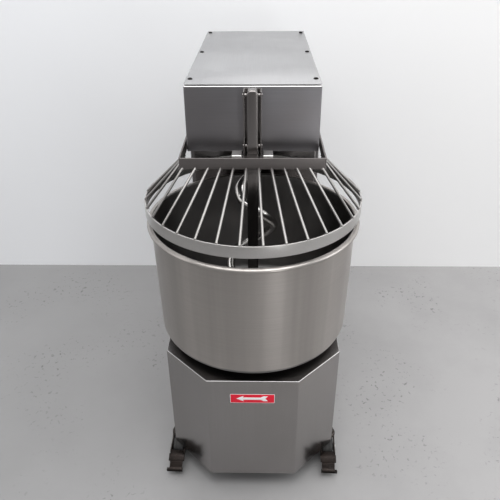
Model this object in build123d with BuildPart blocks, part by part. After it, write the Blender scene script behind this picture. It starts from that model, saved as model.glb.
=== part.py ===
from build123d import *
import os
from math import cos, radians, sin, tan

# Spiral dough mixer: a turning bowl on a base cabinet, a column behind it, and a head that
# carries the spiral hook, the fixed breaker bar and a hinged wire guard.
# Millimetres, +Z up, floor at z = 0, the front faces -Y.

os.makedirs("parts", exist_ok=True)

# ---- driving dimensions ------------------------------------------------------------------
SHEET = 2.0  # stainless sheet of every casing
CLEAR = 0.3  # air between casings that fit into each other

BOWL_Y = -200.0  # bowl axis, seen from above
RIM_R = 250.0
RIM_Z = 688.0
BOWL_TOP_R = 240.5
BOWL_BOTTOM_R = 235.0
BOWL_BOTTOM_Z = 385.0
BOWL_WALL = 3.0
BOWL_CORNER = 28.0

BASE_HALF = 214.0
BASE_FRONT_Y = -430.0
FRONT_PANEL_HALF = 107.5
SHOULDER_Y = -50.0  # where the cabinet begins to narrow to the column
SKIRT_Z = 50.0
DECK_Z = 371.0

COLUMN_HALF = 177.0
COLUMN_FRONT_Y = 72.0
BACK_Y = 441.0

HEAD_HALF = 147.0
HEAD_FRONT_Y = -200.0
HEAD_BOTTOM_Z = 845.0
HEAD_TOP_Z = 992.0

HOOK_Y = -83.0
HOOK_ROD = 12.0  # radius of the hook's bar
HOOK_TOP_Z = 742.0
HOOK_END_Z = 404.0
HOOK_SHAFT_R = 18.0
HOOK_SHAFT_TOP_Z = 962.0

MAIN_Y = 200.0  # upright drive shaft in the column
MAIN_SHAFT_R = 15.0
MOTOR_Y = 350.0

GUARD_FRONT_Y = -270.0
GUARD_HALF = 158.0
GUARD_BAR = 25.0  # height of the flat bar
GUARD_BAR_Z = 830.0  # lower edge of the flat bar
GUARD_THICK = 4.0
GUARD_PIVOT_Y = 55.0
GUARD_PIVOT_Z = 863.0
RING_Z = 716.0
RING_HEIGHT = 27.0
RING_THICK = 3.5
ROD_R = 3.0

BAR_HALF = 12.5  # breaker bar
BAR_FRONT_Y = -236.0
BAR_BACK_Y = -204.0
BAR_END_Z = 403.0

CASTER_X = 205.0
CASTER_Y = -297.0
CASTER_TURN = -2.0  # degrees that the front casters' trails are turned towards -X
CASTER_TRAIL = 24.0
REAR_CASTER_X = 145.0
REAR_CASTER_Y = 385.0
WHEEL_R = 25.0
WHEEL_HALF = 14.0
RAIL_Z = 70.0  # underside of the chassis

SCREW_R = 3.0
SCREW_HEAD_R = 5.5
SCREW_HEAD = 3.0

CHAMFER_Y = BASE_FRONT_Y + BASE_HALF - FRONT_PANEL_HALF
NARROW_Y = SHOULDER_Y + BASE_HALF - COLUMN_HALF
HEAD_LENGTH = BACK_Y - HEAD_FRONT_Y
HEAD_MID_Y = (BACK_Y + HEAD_FRONT_Y) / 2
COVER_Z = HEAD_TOP_Z - SHEET
SHELL_TOP_Z = COVER_Z - 1.0

bowl_axis = Axis((0, BOWL_Y, 0), (0, 0, 1))
bowl_section = Plane(origin=(0, BOWL_Y, 0), x_dir=(1, 0, 0), z_dir=(0, -1, 0))

base_outline = [
    (-FRONT_PANEL_HALF, BASE_FRONT_Y),
    (FRONT_PANEL_HALF, BASE_FRONT_Y),
    (BASE_HALF, CHAMFER_Y),
    (BASE_HALF, SHOULDER_Y),
    (COLUMN_HALF, NARROW_Y),
    (COLUMN_HALF, BACK_Y),
    (-COLUMN_HALF, BACK_Y),
    (-COLUMN_HALF, NARROW_Y),
    (-BASE_HALF, SHOULDER_Y),
    (-BASE_HALF, CHAMFER_Y),
]


def block(x, y, z, mode=Mode.ADD):
    """A box given by its lowest and highest x, y and z."""
    with Locations(((x[0] + x[1]) / 2, (y[0] + y[1]) / 2, (z[0] + z[1]) / 2)):
        Box(x[1] - x[0], y[1] - y[0], z[1] - z[0], mode=mode)


def ring(y, z, outer, inner, height):
    """An upright ring on the mixer's middle plane."""
    with BuildSketch(Plane.XY.offset(z)) as section:
        with Locations((0, y)):
            Circle(outer)
            Circle(inner, mode=Mode.SUBTRACT)
    extrude(section.sketch, amount=height)


def flanged_pulley(y, z, radius, bore, height):
    """A flat belt pulley with a rim at each end."""
    ring(y, z, radius, bore, height)
    ring(y, z, radius + 4, bore, 2)
    ring(y, z + height - 2, radius + 4, bore, 2)


def belt_loop(y_a, r_a, y_b, r_b, z, width, thick):
    """A belt round two pulleys on the middle plane."""
    for grow, mode in ((thick, Mode.ADD), (0, Mode.SUBTRACT)):
        with BuildSketch(Plane.XY.offset(z)) as loop:
            with Locations((0, y_a)):
                Circle(r_a + CLEAR + grow)
            with Locations((0, y_b)):
                Circle(r_b + CLEAR + grow)
            make_hull()
        extrude(loop.sketch, amount=width, mode=mode)


# ---- base cabinet ------------------------------------------------------------------------
with BuildPart() as base_shell:
    with BuildSketch(Plane.XY.offset(SKIRT_Z)):
        with BuildLine():
            Polyline(*base_outline, close=True)
        make_face()
        offset(amount=-SHEET, kind=Kind.INTERSECTION, mode=Mode.SUBTRACT)
    extrude(amount=DECK_Z - SKIRT_Z)
    block((-150, 150), (BACK_Y - 10, BACK_Y + 10), (SKIRT_Z + 30, DECK_Z + 1), Mode.SUBTRACT)
    for near, far in ((-BASE_HALF - 1, -CASTER_X), (CASTER_X, BASE_HALF + 1)):  # room for the casters
        block((near, far), (CASTER_Y - 23, CASTER_Y + 24), (SKIRT_Z - 1, RAIL_Z + 1), Mode.SUBTRACT)
base_shell.part.label = "base_shell"
export_step(base_shell.part, "parts/base_shell.step")

with BuildPart() as base_deck:
    with BuildSketch(Plane.XY.offset(DECK_Z - 3)):
        with BuildLine():
            Polyline(*base_outline, close=True)
        make_face()
        offset(amount=-SHEET - CLEAR, kind=Kind.INTERSECTION, mode=Mode.REPLACE)
        with Locations((0, COLUMN_FRONT_Y + 200)):
            Rectangle(500, 400 + 2 * CLEAR, mode=Mode.SUBTRACT)
        with Locations((0, BOWL_Y)):
            Circle(32, mode=Mode.SUBTRACT)
    extrude(amount=2.5)
base_deck.part.label = "base_deck"
export_step(base_deck.part, "parts/base_deck.step")

# Welded chassis: floor rails, posts under the bowl, uprights in the column, bearing plates.
RAIL_TOP = RAIL_Z + 30
with BuildPart() as chassis:
    block((-204, 204), (-325, -283), (RAIL_Z, RAIL_TOP))
    block((-204, 204), (-117, -90), (RAIL_Z, RAIL_TOP))
    block((-170, 170), (80, 110), (RAIL_Z, RAIL_TOP))
    block((-170, 170), (355, 415), (RAIL_Z, RAIL_TOP))
    for side in (-1, 1):
        inner, outer = sorted((side * 100, side * 140))
        block((inner, outer), (-283, 355), (RAIL_Z, RAIL_TOP))
        for post_y in ((-310, -283), (-117, -90)):
            inner, outer = sorted((side * 172, side * 202))
            block((inner, outer), post_y, (RAIL_TOP, DECK_Z - 4))
        for upright_y in ((80, 110), (400, 430)):
            inner, outer = sorted((side * 138, side * 170))
            block((inner, outer), upright_y, (RAIL_Z, HEAD_BOTTOM_Z - SHEET - CLEAR))
    block((-202, 202), (-310, -90), (DECK_Z - 14, DECK_Z - 4))
    for plate_z in (300, 818):
        block((-170, 170), (110, 260), (plate_z, plate_z + 10))
        for side in (-1, 1):
            inner, outer = sorted((side * 148, side * 170))
            block((inner, outer), (110, 400), (plate_z, plate_z + 10))
    block((-170, 170), (272, 400), (404, 412))
    with Locations((0, BOWL_Y, DECK_Z - 9)):
        Cylinder(50.05, 20, mode=Mode.SUBTRACT)
    with Locations((0, MAIN_Y, 305), (0, MAIN_Y, 823)):
        Cylinder(26.05, 20, mode=Mode.SUBTRACT)
    with Locations((0, MOTOR_Y, 408)):
        Cylinder(40, 20, mode=Mode.SUBTRACT)
chassis.part.label = "chassis"
export_step(chassis.part, "parts/chassis.step")

# ---- column ------------------------------------------------------------------------------
COLUMN_MID_Y = (COLUMN_FRONT_Y + BACK_Y) / 2
COLUMN_DEPTH = BACK_Y - COLUMN_FRONT_Y
with BuildPart() as column_shell:
    with BuildSketch(Plane.XY.offset(DECK_Z)) as column_plan:
        with Locations((0, COLUMN_MID_Y)):
            Rectangle(2 * COLUMN_HALF, COLUMN_DEPTH)
        fillet(column_plan.vertices().group_by(Axis.Y)[0], 12)
    extrude(amount=HEAD_BOTTOM_Z - DECK_Z)
    with BuildSketch(Plane.XY.offset(DECK_Z)) as column_room:
        with Locations((0, COLUMN_MID_Y)):
            Rectangle(2 * (COLUMN_HALF - SHEET), COLUMN_DEPTH - 2 * SHEET)
        fillet(column_room.vertices().group_by(Axis.Y)[0], 10)
    extrude(amount=HEAD_BOTTOM_Z - DECK_Z - SHEET, mode=Mode.SUBTRACT)
    block((-120, 120), (100, 410), (HEAD_BOTTOM_Z - 10, HEAD_BOTTOM_Z + 1), Mode.SUBTRACT)
    block((-150, 150), (BACK_Y - 10, BACK_Y + 10), (DECK_Z - 1, HEAD_BOTTOM_Z - 25), Mode.SUBTRACT)
column_shell.part.label = "column_shell"
export_step(column_shell.part, "parts/column_shell.step")

REAR_COVER_HALF = 165.0
REAR_COVER_Z = (66.0, 834.0)
rear_screw_places = [(x, z) for x in (-157, 157) for z in (90, 450, 810)]
with BuildPart() as rear_cover:
    block((-REAR_COVER_HALF, REAR_COVER_HALF), (BACK_Y, BACK_Y + SHEET), REAR_COVER_Z)
    fillet(rear_cover.edges().filter_by(Axis.Y), 6)
    rear_face = Plane(origin=(0, BACK_Y + SHEET, 0), x_dir=(-1, 0, 0), z_dir=(0, 1, 0))
    with BuildSketch(rear_face):
        with Locations((0, 530)):
            with GridLocations(110, 16, 2, 9):
                SlotOverall(90, 6)
        with Locations(*[(-x, z) for x, z in rear_screw_places]):
            Circle(SCREW_R + 0.2)
        with Locations((120, 130)):
            Circle(8.2)
    extrude(amount=-3 * SHEET, mode=Mode.SUBTRACT)
rear_cover.part.label = "rear_cover"
export_step(rear_cover.part, "parts/rear_cover.step")

# ---- head --------------------------------------------------------------------------------
PANEL_MID_Y = 250.0
PANEL_MID_Z = 925.0
top_screw_places = [(x, y) for x in (-137, 137) for y in (-152, 130, 411)]
control_places = {
    "start_button": (PANEL_MID_Y - 85, 8.0),
    "stop_button": (PANEL_MID_Y - 45, 8.0),
    "timer_knob": (PANEL_MID_Y + 15, 4.0),
    "emergency_stop": (PANEL_MID_Y + 80, 8.0),
}
with BuildPart() as head_shell:
    head_height = SHELL_TOP_Z - HEAD_BOTTOM_Z
    with BuildSketch(Plane.XY.offset(HEAD_BOTTOM_Z)) as head_plan:
        with Locations((0, HEAD_MID_Y)):
            Rectangle(2 * HEAD_HALF, HEAD_LENGTH)
        fillet(head_plan.vertices(), 3)
    extrude(amount=head_height)
    with BuildSketch(Plane.XY.offset(HEAD_BOTTOM_Z)):
        with Locations((0, HEAD_MID_Y)):
            Rectangle(2 * (HEAD_HALF - SHEET), HEAD_LENGTH - 2 * SHEET)
    extrude(amount=head_height - SHEET, mode=Mode.SUBTRACT)
    block((-125, 125), (-175, 416), (SHELL_TOP_Z - 10, SHELL_TOP_Z + 1), Mode.SUBTRACT)
    with BuildSketch(Plane.YZ.offset(HEAD_HALF + 5)):
        for control_y, shank in control_places.values():
            with Locations((control_y, PANEL_MID_Z)):
                Circle(shank + 0.5)
    extrude(amount=-12, mode=Mode.SUBTRACT)
    with Locations(*[(x, y, SHELL_TOP_Z) for x, y in top_screw_places]):
        Cylinder(SCREW_R + 0.05, 10, mode=Mode.SUBTRACT)
head_shell.part.label = "head_shell"
export_step(head_shell.part, "parts/head_shell.step")

with BuildPart() as head_bottom_plate:
    edge = SHEET + CLEAR
    block(
        (-HEAD_HALF + edge, HEAD_HALF - edge),
        (HEAD_FRONT_Y + edge, BACK_Y - edge),
        (HEAD_BOTTOM_Z, HEAD_BOTTOM_Z + 8),
    )
    with Locations((0, HOOK_Y, HEAD_BOTTOM_Z)):
        Cylinder(HOOK_SHAFT_R + 2, 40, mode=Mode.SUBTRACT)
    with Locations((0, MAIN_Y, HEAD_BOTTOM_Z)):
        Cylinder(40, 40, mode=Mode.SUBTRACT)
head_bottom_plate.part.label = "head_bottom_plate"
export_step(head_bottom_plate.part, "parts/head_bottom_plate.step")

COVER_SETBACK = 3.0  # the head's folded front edge shows in front of the cover
with BuildPart() as top_cover:
    with BuildSketch(Plane.XY.offset(COVER_Z)) as cover_plan:
        with Locations((0, HEAD_MID_Y + COVER_SETBACK / 2)):
            Rectangle(2 * HEAD_HALF, HEAD_LENGTH - COVER_SETBACK)
        fillet(cover_plan.vertices(), 3)
        with Locations(*top_screw_places):
            Circle(SCREW_R + 0.2, mode=Mode.SUBTRACT)
    extrude(amount=SHEET)
top_cover.part.label = "top_cover"
export_step(top_cover.part, "parts/top_cover.step")

with BuildPart() as cover_screws:
    for screw_x, screw_y in top_screw_places:
        with Locations((screw_x, screw_y, HEAD_TOP_Z - 6)):
            Cylinder(SCREW_R, 12)
        with Locations((screw_x, screw_y, HEAD_TOP_Z + SCREW_HEAD / 2)):
            Cylinder(SCREW_HEAD_R, SCREW_HEAD)
    for screw_x, screw_z in rear_screw_places:
        with Locations(Location((screw_x, BACK_Y + SHEET - 3, screw_z), (90, 0, 0))):
            Cylinder(SCREW_R, 6)
        with Locations(Location((screw_x, BACK_Y + SHEET + SCREW_HEAD / 2, screw_z), (90, 0, 0))):
            Cylinder(SCREW_HEAD_R, SCREW_HEAD)
cover_screws.part.label = "cover_screws"
export_step(cover_screws.part, "parts/cover_screws.step")

# ---- breaker bar and its channel on the head ----------------------------------------------
CHANNEL_HALF = 19.5
CHANNEL_FRONT_Y = -232.0
CHANNEL_TOP_Z = HEAD_TOP_Z - 6
CHANNEL_SHEET = 3.0
SHOE_HALF = 22.0  # the shoe is the flat plate that closes the channel below, round the bar
SHOE_FRONT_Y = -262.0
SHOE_Z = (847.0, 853.0)
with BuildPart() as breaker_channel:
    block((-CHANNEL_HALF, CHANNEL_HALF), (CHANNEL_FRONT_Y, HEAD_FRONT_Y), (SHOE_Z[0], CHANNEL_TOP_Z))
    block((-CHANNEL_HALF + CHANNEL_SHEET, CHANNEL_HALF - CHANNEL_SHEET),
          (CHANNEL_FRONT_Y - 1, HEAD_FRONT_Y - CHANNEL_SHEET),
          (SHOE_Z[0] - 1, CHANNEL_TOP_Z + 1), Mode.SUBTRACT)
    block((-SHOE_HALF, SHOE_HALF), (SHOE_FRONT_Y, HEAD_FRONT_Y), SHOE_Z)
    block((-BAR_HALF - CLEAR, BAR_HALF + CLEAR), (BAR_FRONT_Y - CLEAR, HEAD_FRONT_Y - CHANNEL_SHEET),
          (SHOE_Z[0] - 1, SHOE_Z[1] + 1), Mode.SUBTRACT)
breaker_channel.part.label = "breaker_channel"
export_step(breaker_channel.part, "parts/breaker_channel.step")

BAR_TOP_Z = HEAD_TOP_Z - 3
with BuildPart() as breaker_bar:
    block((-BAR_HALF, BAR_HALF), (BAR_FRONT_Y, BAR_BACK_Y), (BAR_END_Z, BAR_TOP_Z))
    fillet(breaker_bar.edges().filter_by(Axis.Y).group_by(Axis.Z)[-1], 11)
    fillet(breaker_bar.edges().filter_by(Axis.Y).group_by(Axis.Z)[0], 8)
    fillet(breaker_bar.faces().sort_by(Axis.Y)[0].edges(), 4)
breaker_bar.part.label = "breaker_bar"
export_step(breaker_bar.part, "parts/breaker_bar.step")

pin_places = [(-222.0, 866.0), (-222.0, 976.0)]
with BuildPart() as breaker_bar_pins:
    for pin_y, pin_z in pin_places:
        with Locations(Location((0, pin_y, pin_z), (0, 90, 0))):
            Cylinder(4, 2 * CHANNEL_HALF + 3)
breaker_bar_pins.part.label = "breaker_bar_pins"
export_step(breaker_bar_pins.part, "parts/breaker_bar_pins.step")

LABEL_Z = 317.0
with BuildPart() as direction_label:
    block((-52.5, 52.5), (BASE_FRONT_Y - 0.6, BASE_FRONT_Y), (LABEL_Z - 14, LABEL_Z + 14))
    fillet(direction_label.edges().filter_by(Axis.Y), 2)
direction_label.part.label = "direction_label"
export_step(direction_label.part, "parts/direction_label.step")

# ---- bearings and their housings -----------------------------------------------------------
BOWL_SHAFT_R = 22.5
with BuildPart() as bowl_bearing_housing:
    ring(BOWL_Y, 285, 50, 31, 82)
    ring(BOWL_Y, DECK_Z - 20, 72, 50, 5.7)
bowl_bearing_housing.part.label = "bowl_bearing_housing"
export_step(bowl_bearing_housing.part, "parts/bowl_bearing_housing.step")

with BuildPart() as hook_bearing_housing:
    ring(HOOK_Y, HEAD_BOTTOM_Z + 8, 72, 31, 8)
    ring(HOOK_Y, HEAD_BOTTOM_Z + 16, 40, 31, 66)
hook_bearing_housing.part.label = "hook_bearing_housing"
export_step(hook_bearing_housing.part, "parts/hook_bearing_housing.step")

with BuildPart() as shaft_bearings:
    for bearing_z in (290, 344):
        ring(BOWL_Y, bearing_z, 30.98, BOWL_SHAFT_R + 0.05, 18)
    for bearing_z in (860, 908):
        ring(HOOK_Y, bearing_z, 30.98, HOOK_SHAFT_R + 0.05, 18)
    for bearing_z in (297, 815):
        ring(MAIN_Y, bearing_z, 26, MAIN_SHAFT_R + 0.05, 16)
shaft_bearings.part.label = "shaft_bearings"
export_step(shaft_bearings.part, "parts/shaft_bearings.step")

# ---- bowl ----------------------------------------------------------------------------------
with BuildPart() as bowl:
    with BuildSketch(bowl_section) as bowl_profile:
        with BuildLine():
            Polyline(
                (0, BOWL_BOTTOM_Z),
                (BOWL_BOTTOM_R, BOWL_BOTTOM_Z),
                (BOWL_TOP_R, RIM_Z),
                (BOWL_TOP_R - BOWL_WALL, RIM_Z),
                (BOWL_BOTTOM_R - BOWL_WALL, BOWL_BOTTOM_Z + BOWL_WALL),
                (0, BOWL_BOTTOM_Z + BOWL_WALL),
                close=True,
            )
        make_face()
        lower_corners = bowl_profile.vertices().filter_by_position(Axis.X, 200, 239)
        fillet(lower_corners.sort_by(Axis.Z)[0], BOWL_CORNER)
        fillet(lower_corners.sort_by(Axis.Z)[-1], BOWL_CORNER - BOWL_WALL)
    revolve(axis=bowl_axis)
    with BuildSketch(bowl_section):
        with Locations((RIM_R - 5, RIM_Z - 5)):
            Circle(5)
        with Locations((BOWL_TOP_R - BOWL_WALL + 4, RIM_Z - 1.5)):
            Rectangle(8, 3)
    revolve(axis=bowl_axis)
    with Locations((0, BOWL_Y, BOWL_BOTTOM_Z)):
        with PolarLocations(60, 6):
            Cylinder(4.1, 20, mode=Mode.SUBTRACT)
bowl.part.label = "bowl"
export_step(bowl.part, "parts/bowl.step")

with BuildPart() as bowl_shaft:
    with Locations((0, BOWL_Y, (240 + BOWL_BOTTOM_Z - 8) / 2)):
        Cylinder(BOWL_SHAFT_R, BOWL_BOTTOM_Z - 8 - 240)
    with Locations((0, BOWL_Y, BOWL_BOTTOM_Z - 4)):
        Cylinder(85, 8)
        with PolarLocations(60, 6):
            Cylinder(4.1, 20, mode=Mode.SUBTRACT)
bowl_shaft.part.label = "bowl_shaft"
export_step(bowl_shaft.part, "parts/bowl_shaft.step")

with BuildPart() as bowl_bolts:
    with Locations((0, BOWL_Y, BOWL_BOTTOM_Z - 2)):
        with PolarLocations(60, 6):
            Cylinder(4, 12)
    with Locations((0, BOWL_Y, BOWL_BOTTOM_Z + BOWL_WALL + 2)):
        with PolarLocations(60, 6):
            Cylinder(7, 4)
bowl_bolts.part.label = "bowl_bolts"
export_step(bowl_bolts.part, "parts/bowl_bolts.step")

BOWL_PULLEY_R = 152.0
MAIN_SMALL_R = 19.0
LOW_BELT_Z = 245.0
with BuildPart() as bowl_pulley:
    flanged_pulley(BOWL_Y, LOW_BELT_Z, BOWL_PULLEY_R, BOWL_SHAFT_R + 0.02, 20)
    with Locations((0, BOWL_Y, LOW_BELT_Z)):
        with PolarLocations(92, 6):
            Cylinder(26, 60, mode=Mode.SUBTRACT)
bowl_pulley.part.label = "bowl_pulley"
export_step(bowl_pulley.part, "parts/bowl_pulley.step")

# ---- drive ---------------------------------------------------------------------------------
HEAD_BELT_Z = 935.0
MAIN_HEAD_R = 50.0
HOOK_PULLEY_R = 60.0
MOTOR_BELT_Z = 366.0
MAIN_LARGE_R = 100.0
MOTOR_PULLEY_R = 30.0

with BuildPart() as main_shaft:
    with Locations((0, MAIN_Y, 598)):
        Cylinder(MAIN_SHAFT_R, 740)
main_shaft.part.label = "main_shaft"
export_step(main_shaft.part, "parts/main_shaft.step")

with BuildPart() as main_pulleys:
    flanged_pulley(MAIN_Y, LOW_BELT_Z, MAIN_SMALL_R, MAIN_SHAFT_R + 0.02, 20)
    flanged_pulley(MAIN_Y, MOTOR_BELT_Z, MAIN_LARGE_R, MAIN_SHAFT_R + 0.02, 20)
    flanged_pulley(MAIN_Y, HEAD_BELT_Z, MAIN_HEAD_R, MAIN_SHAFT_R + 0.02, 22)
main_pulleys.part.label = "main_pulleys"
export_step(main_pulleys.part, "parts/main_pulleys.step")

with BuildPart() as bowl_drive_belt:
    belt_loop(BOWL_Y, BOWL_PULLEY_R, MAIN_Y, MAIN_SMALL_R, LOW_BELT_Z + 3, 14, 3)
bowl_drive_belt.part.label = "bowl_drive_belt"
export_step(bowl_drive_belt.part, "parts/bowl_drive_belt.step")

with BuildPart() as motor_belt:
    belt_loop(MAIN_Y, MAIN_LARGE_R, MOTOR_Y, MOTOR_PULLEY_R, MOTOR_BELT_Z + 3, 14, 3)
motor_belt.part.label = "motor_belt"
export_step(motor_belt.part, "parts/motor_belt.step")

with BuildPart() as hook_drive_belt:
    belt_loop(HOOK_Y, HOOK_PULLEY_R, MAIN_Y, MAIN_HEAD_R, HEAD_BELT_Z + 3, 16, 3)
hook_drive_belt.part.label = "hook_drive_belt"
export_step(hook_drive_belt.part, "parts/hook_drive_belt.step")

MOTOR_Z = 412.0
with BuildPart() as motor:
    with Locations((0, MOTOR_Y, MOTOR_Z + 6)):
        Cylinder(78, 12)
    with Locations((0, MOTOR_Y, MOTOR_Z + 112)):
        Cylinder(66, 200)
        with PolarLocations(69, 28):
            Box(10, 3, 180)
    with Locations((0, MOTOR_Y, MOTOR_Z + 232)):
        Cylinder(72, 40)
    block((62, 100), (MOTOR_Y - 40, MOTOR_Y + 40), (MOTOR_Z + 60, MOTOR_Z + 140))
    with Locations((0, MOTOR_Y, MOTOR_Z)):
        Cylinder(11, 60, mode=Mode.SUBTRACT)
motor.part.label = "motor"
export_step(motor.part, "parts/motor.step")

with BuildPart() as motor_pulley:
    flanged_pulley(MOTOR_Y, MOTOR_BELT_Z, MOTOR_PULLEY_R, 10.02, 20)
    with Locations((0, MOTOR_Y, (MOTOR_BELT_Z + MOTOR_Z + 28) / 2)):
        Cylinder(10, MOTOR_Z + 28 - MOTOR_BELT_Z)
motor_pulley.part.label = "motor_pulley"
export_step(motor_pulley.part, "parts/motor_pulley.step")

with BuildPart() as electrical_box:
    block((-130, -60), (114, 180), (560, 760))
    fillet(electrical_box.edges().filter_by(Axis.Z), 5)
electrical_box.part.label = "electrical_box"
export_step(electrical_box.part, "parts/electrical_box.step")

with BuildPart() as cable_gland:
    with Locations(Location((-120, BACK_Y + 2, 130), (90, 0, 0))):
        Cylinder(8, 14)
    with BuildSketch(Plane(origin=(-120, BACK_Y + SHEET, 130), x_dir=(1, 0, 0), z_dir=(0, 1, 0))):
        RegularPolygon(13, 6)
    extrude(amount=7)
    with Locations(Location((-120, BACK_Y + 2, 130), (90, 0, 0))):
        Cylinder(5, 40, mode=Mode.SUBTRACT)
cable_gland.part.label = "cable_gland"
export_step(cable_gland.part, "parts/cable_gland.step")

# ---- spiral hook ---------------------------------------------------------------------------
with BuildPart() as hook_shaft:
    with Locations((0, HOOK_Y, (HOOK_TOP_Z + HOOK_SHAFT_TOP_Z) / 2)):
        Cylinder(HOOK_SHAFT_R, HOOK_SHAFT_TOP_Z - HOOK_TOP_Z)
    fillet(hook_shaft.edges().sort_by(Axis.Z)[0], 3)
hook_shaft.part.label = "hook_shaft"
export_step(hook_shaft.part, "parts/hook_shaft.step")

with BuildPart() as hook_pulley:
    flanged_pulley(HOOK_Y, HEAD_BELT_Z, HOOK_PULLEY_R, HOOK_SHAFT_R + 0.02, 22)
hook_pulley.part.label = "hook_pulley"
export_step(hook_pulley.part, "parts/hook_pulley.step")

HOOK_STEP = 30  # degrees between points of the hook's path
HOOK_START = 60
HOOK_CURL = 180  # where the first curl from the shaft ends and the even spiral begins
HOOK_END = 660
HOOK_CURL_Z = 703.0
HOOK_SWING = 16.0  # the second turn is bent flat at first and then steep
HOOK_SWING_AT = (215, 515)
HOOK_RADII = ((60, 8.0), (180, 36.0), (270, 41.0), (360, 51.0), (480, 52.0), (660, 84.0))


def hook_point(angle):
    """A point on the hook's centre line, at an angle round the hook's axis from +X."""
    for (start, start_r), (end, end_r) in zip(HOOK_RADII, HOOK_RADII[1:]):
        if start <= angle <= end:
            radius = start_r + (end_r - start_r) * (angle - start) / (end - start)
    if angle < HOOK_CURL:
        curled = (angle - HOOK_START) / (HOOK_CURL - HOOK_START)
        z = HOOK_TOP_Z - (HOOK_TOP_Z - HOOK_CURL_Z) * curled**1.5
    else:
        fallen = (angle - HOOK_CURL) / (HOOK_END - HOOK_CURL)
        z = HOOK_CURL_Z - (HOOK_CURL_Z - HOOK_END_Z - HOOK_ROD) * fallen
    swing_start, swing_end = HOOK_SWING_AT
    if swing_start < angle < swing_end:
        z += HOOK_SWING * sin(radians(360 * (angle - swing_start) / (swing_end - swing_start)))
    return (radius * cos(radians(angle)), HOOK_Y + radius * sin(radians(angle)), z)


hook_path_points = [(0, HOOK_Y, HOOK_TOP_Z + 12)]
hook_path_points += [hook_point(a) for a in range(HOOK_START + 30, HOOK_END + 1, HOOK_STEP)]
hook_radii = []
for before, here, after in zip(hook_path_points, hook_path_points[1:], hook_path_points[2:]):
    run_in = Vector(*here) - Vector(*before)
    run_out = Vector(*after) - Vector(*here)
    turn = radians(run_in.get_angle(run_out))
    hook_radii.append(0.45 * min(run_in.length, run_out.length) / tan(turn / 2))
with BuildPart() as spiral_hook:
    with BuildLine() as hook_path:
        FilletPolyline(*hook_path_points, radius=hook_radii)
    with BuildSketch(Plane(origin=hook_path.line @ 0, z_dir=hook_path.line % 0)):
        Circle(HOOK_ROD)
    sweep()
spiral_hook.part.label = "spiral_hook"
export_step(spiral_hook.part, "parts/spiral_hook.step")

# ---- guard ---------------------------------------------------------------------------------
GUARD_INNER = GUARD_HALF - GUARD_THICK
GUARD_BAR_TOP = GUARD_BAR_Z + GUARD_BAR
with BuildPart() as guard_frame:
    front_bar_y = (GUARD_FRONT_Y, GUARD_FRONT_Y + GUARD_THICK)
    block((-GUARD_HALF, GUARD_HALF), front_bar_y, (GUARD_BAR_Z, GUARD_BAR_TOP))
    for side in (-1, 1):
        arm_plane = Plane(origin=(side * GUARD_INNER, 0, 0), x_dir=(0, 1, 0), z_dir=(1, 0, 0))
        with BuildSketch(arm_plane):
            with BuildLine():
                Polyline(
                    (GUARD_FRONT_Y, GUARD_BAR_Z),
                    (GUARD_PIVOT_Y, GUARD_BAR_Z),
                    (GUARD_PIVOT_Y + 16, GUARD_BAR_Z + 16),
                    (GUARD_PIVOT_Y + 16, GUARD_PIVOT_Z),
                    (GUARD_PIVOT_Y - 16, GUARD_PIVOT_Z),
                    (GUARD_PIVOT_Y - 24, GUARD_BAR_TOP),
                    (GUARD_FRONT_Y, GUARD_BAR_TOP),
                    close=True,
                )
            make_face()
            with Locations((GUARD_PIVOT_Y, GUARD_PIVOT_Z)):
                Circle(16)
                Circle(6.05, mode=Mode.SUBTRACT)
        extrude(amount=side * GUARD_THICK)
    outer_corners = guard_frame.edges().filter_by(Axis.Z).group_by(Axis.Y)[0]
    fillet(outer_corners, 3)
guard_frame.part.label = "guard_frame"
export_step(guard_frame.part, "parts/guard_frame.step")

# Two tabs welded behind the front bar, bent back over the breaker bar's shoe.
TAB_X = (23.5, 44.0)
TAB_BACK_Y = -235.0
TAB_TOP_Z = GUARD_BAR_TOP + 5
with BuildPart() as guard_lugs:
    for side in (-1, 1):
        with BuildSketch(Plane.YZ.offset(side * TAB_X[0])) as tab_side:
            with BuildLine():
                Polyline(
                    (GUARD_FRONT_Y + GUARD_THICK, GUARD_BAR_Z + 13),
                    (GUARD_FRONT_Y + GUARD_THICK, TAB_TOP_Z),
                    (TAB_BACK_Y, TAB_TOP_Z),
                    (TAB_BACK_Y, TAB_TOP_Z - 3),
                    (GUARD_FRONT_Y + GUARD_THICK + 3, TAB_TOP_Z - 3),
                    (GUARD_FRONT_Y + GUARD_THICK + 3, GUARD_BAR_Z + 13),
                    close=True,
                )
            make_face()
            fillet(tab_side.vertices().group_by(Axis.Y)[0].sort_by(Axis.Z)[-1], 2.5)
        extrude(tab_side.sketch, amount=side * (TAB_X[1] - TAB_X[0]))
guard_lugs.part.label = "guard_lugs"
export_step(guard_lugs.part, "parts/guard_lugs.step")

with BuildPart() as guard_ring:
    ring(BOWL_Y, RING_Z, RIM_R, RIM_R - RING_THICK, RING_HEIGHT)
guard_ring.part.label = "guard_ring"
export_step(guard_ring.part, "parts/guard_ring.step")

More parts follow.
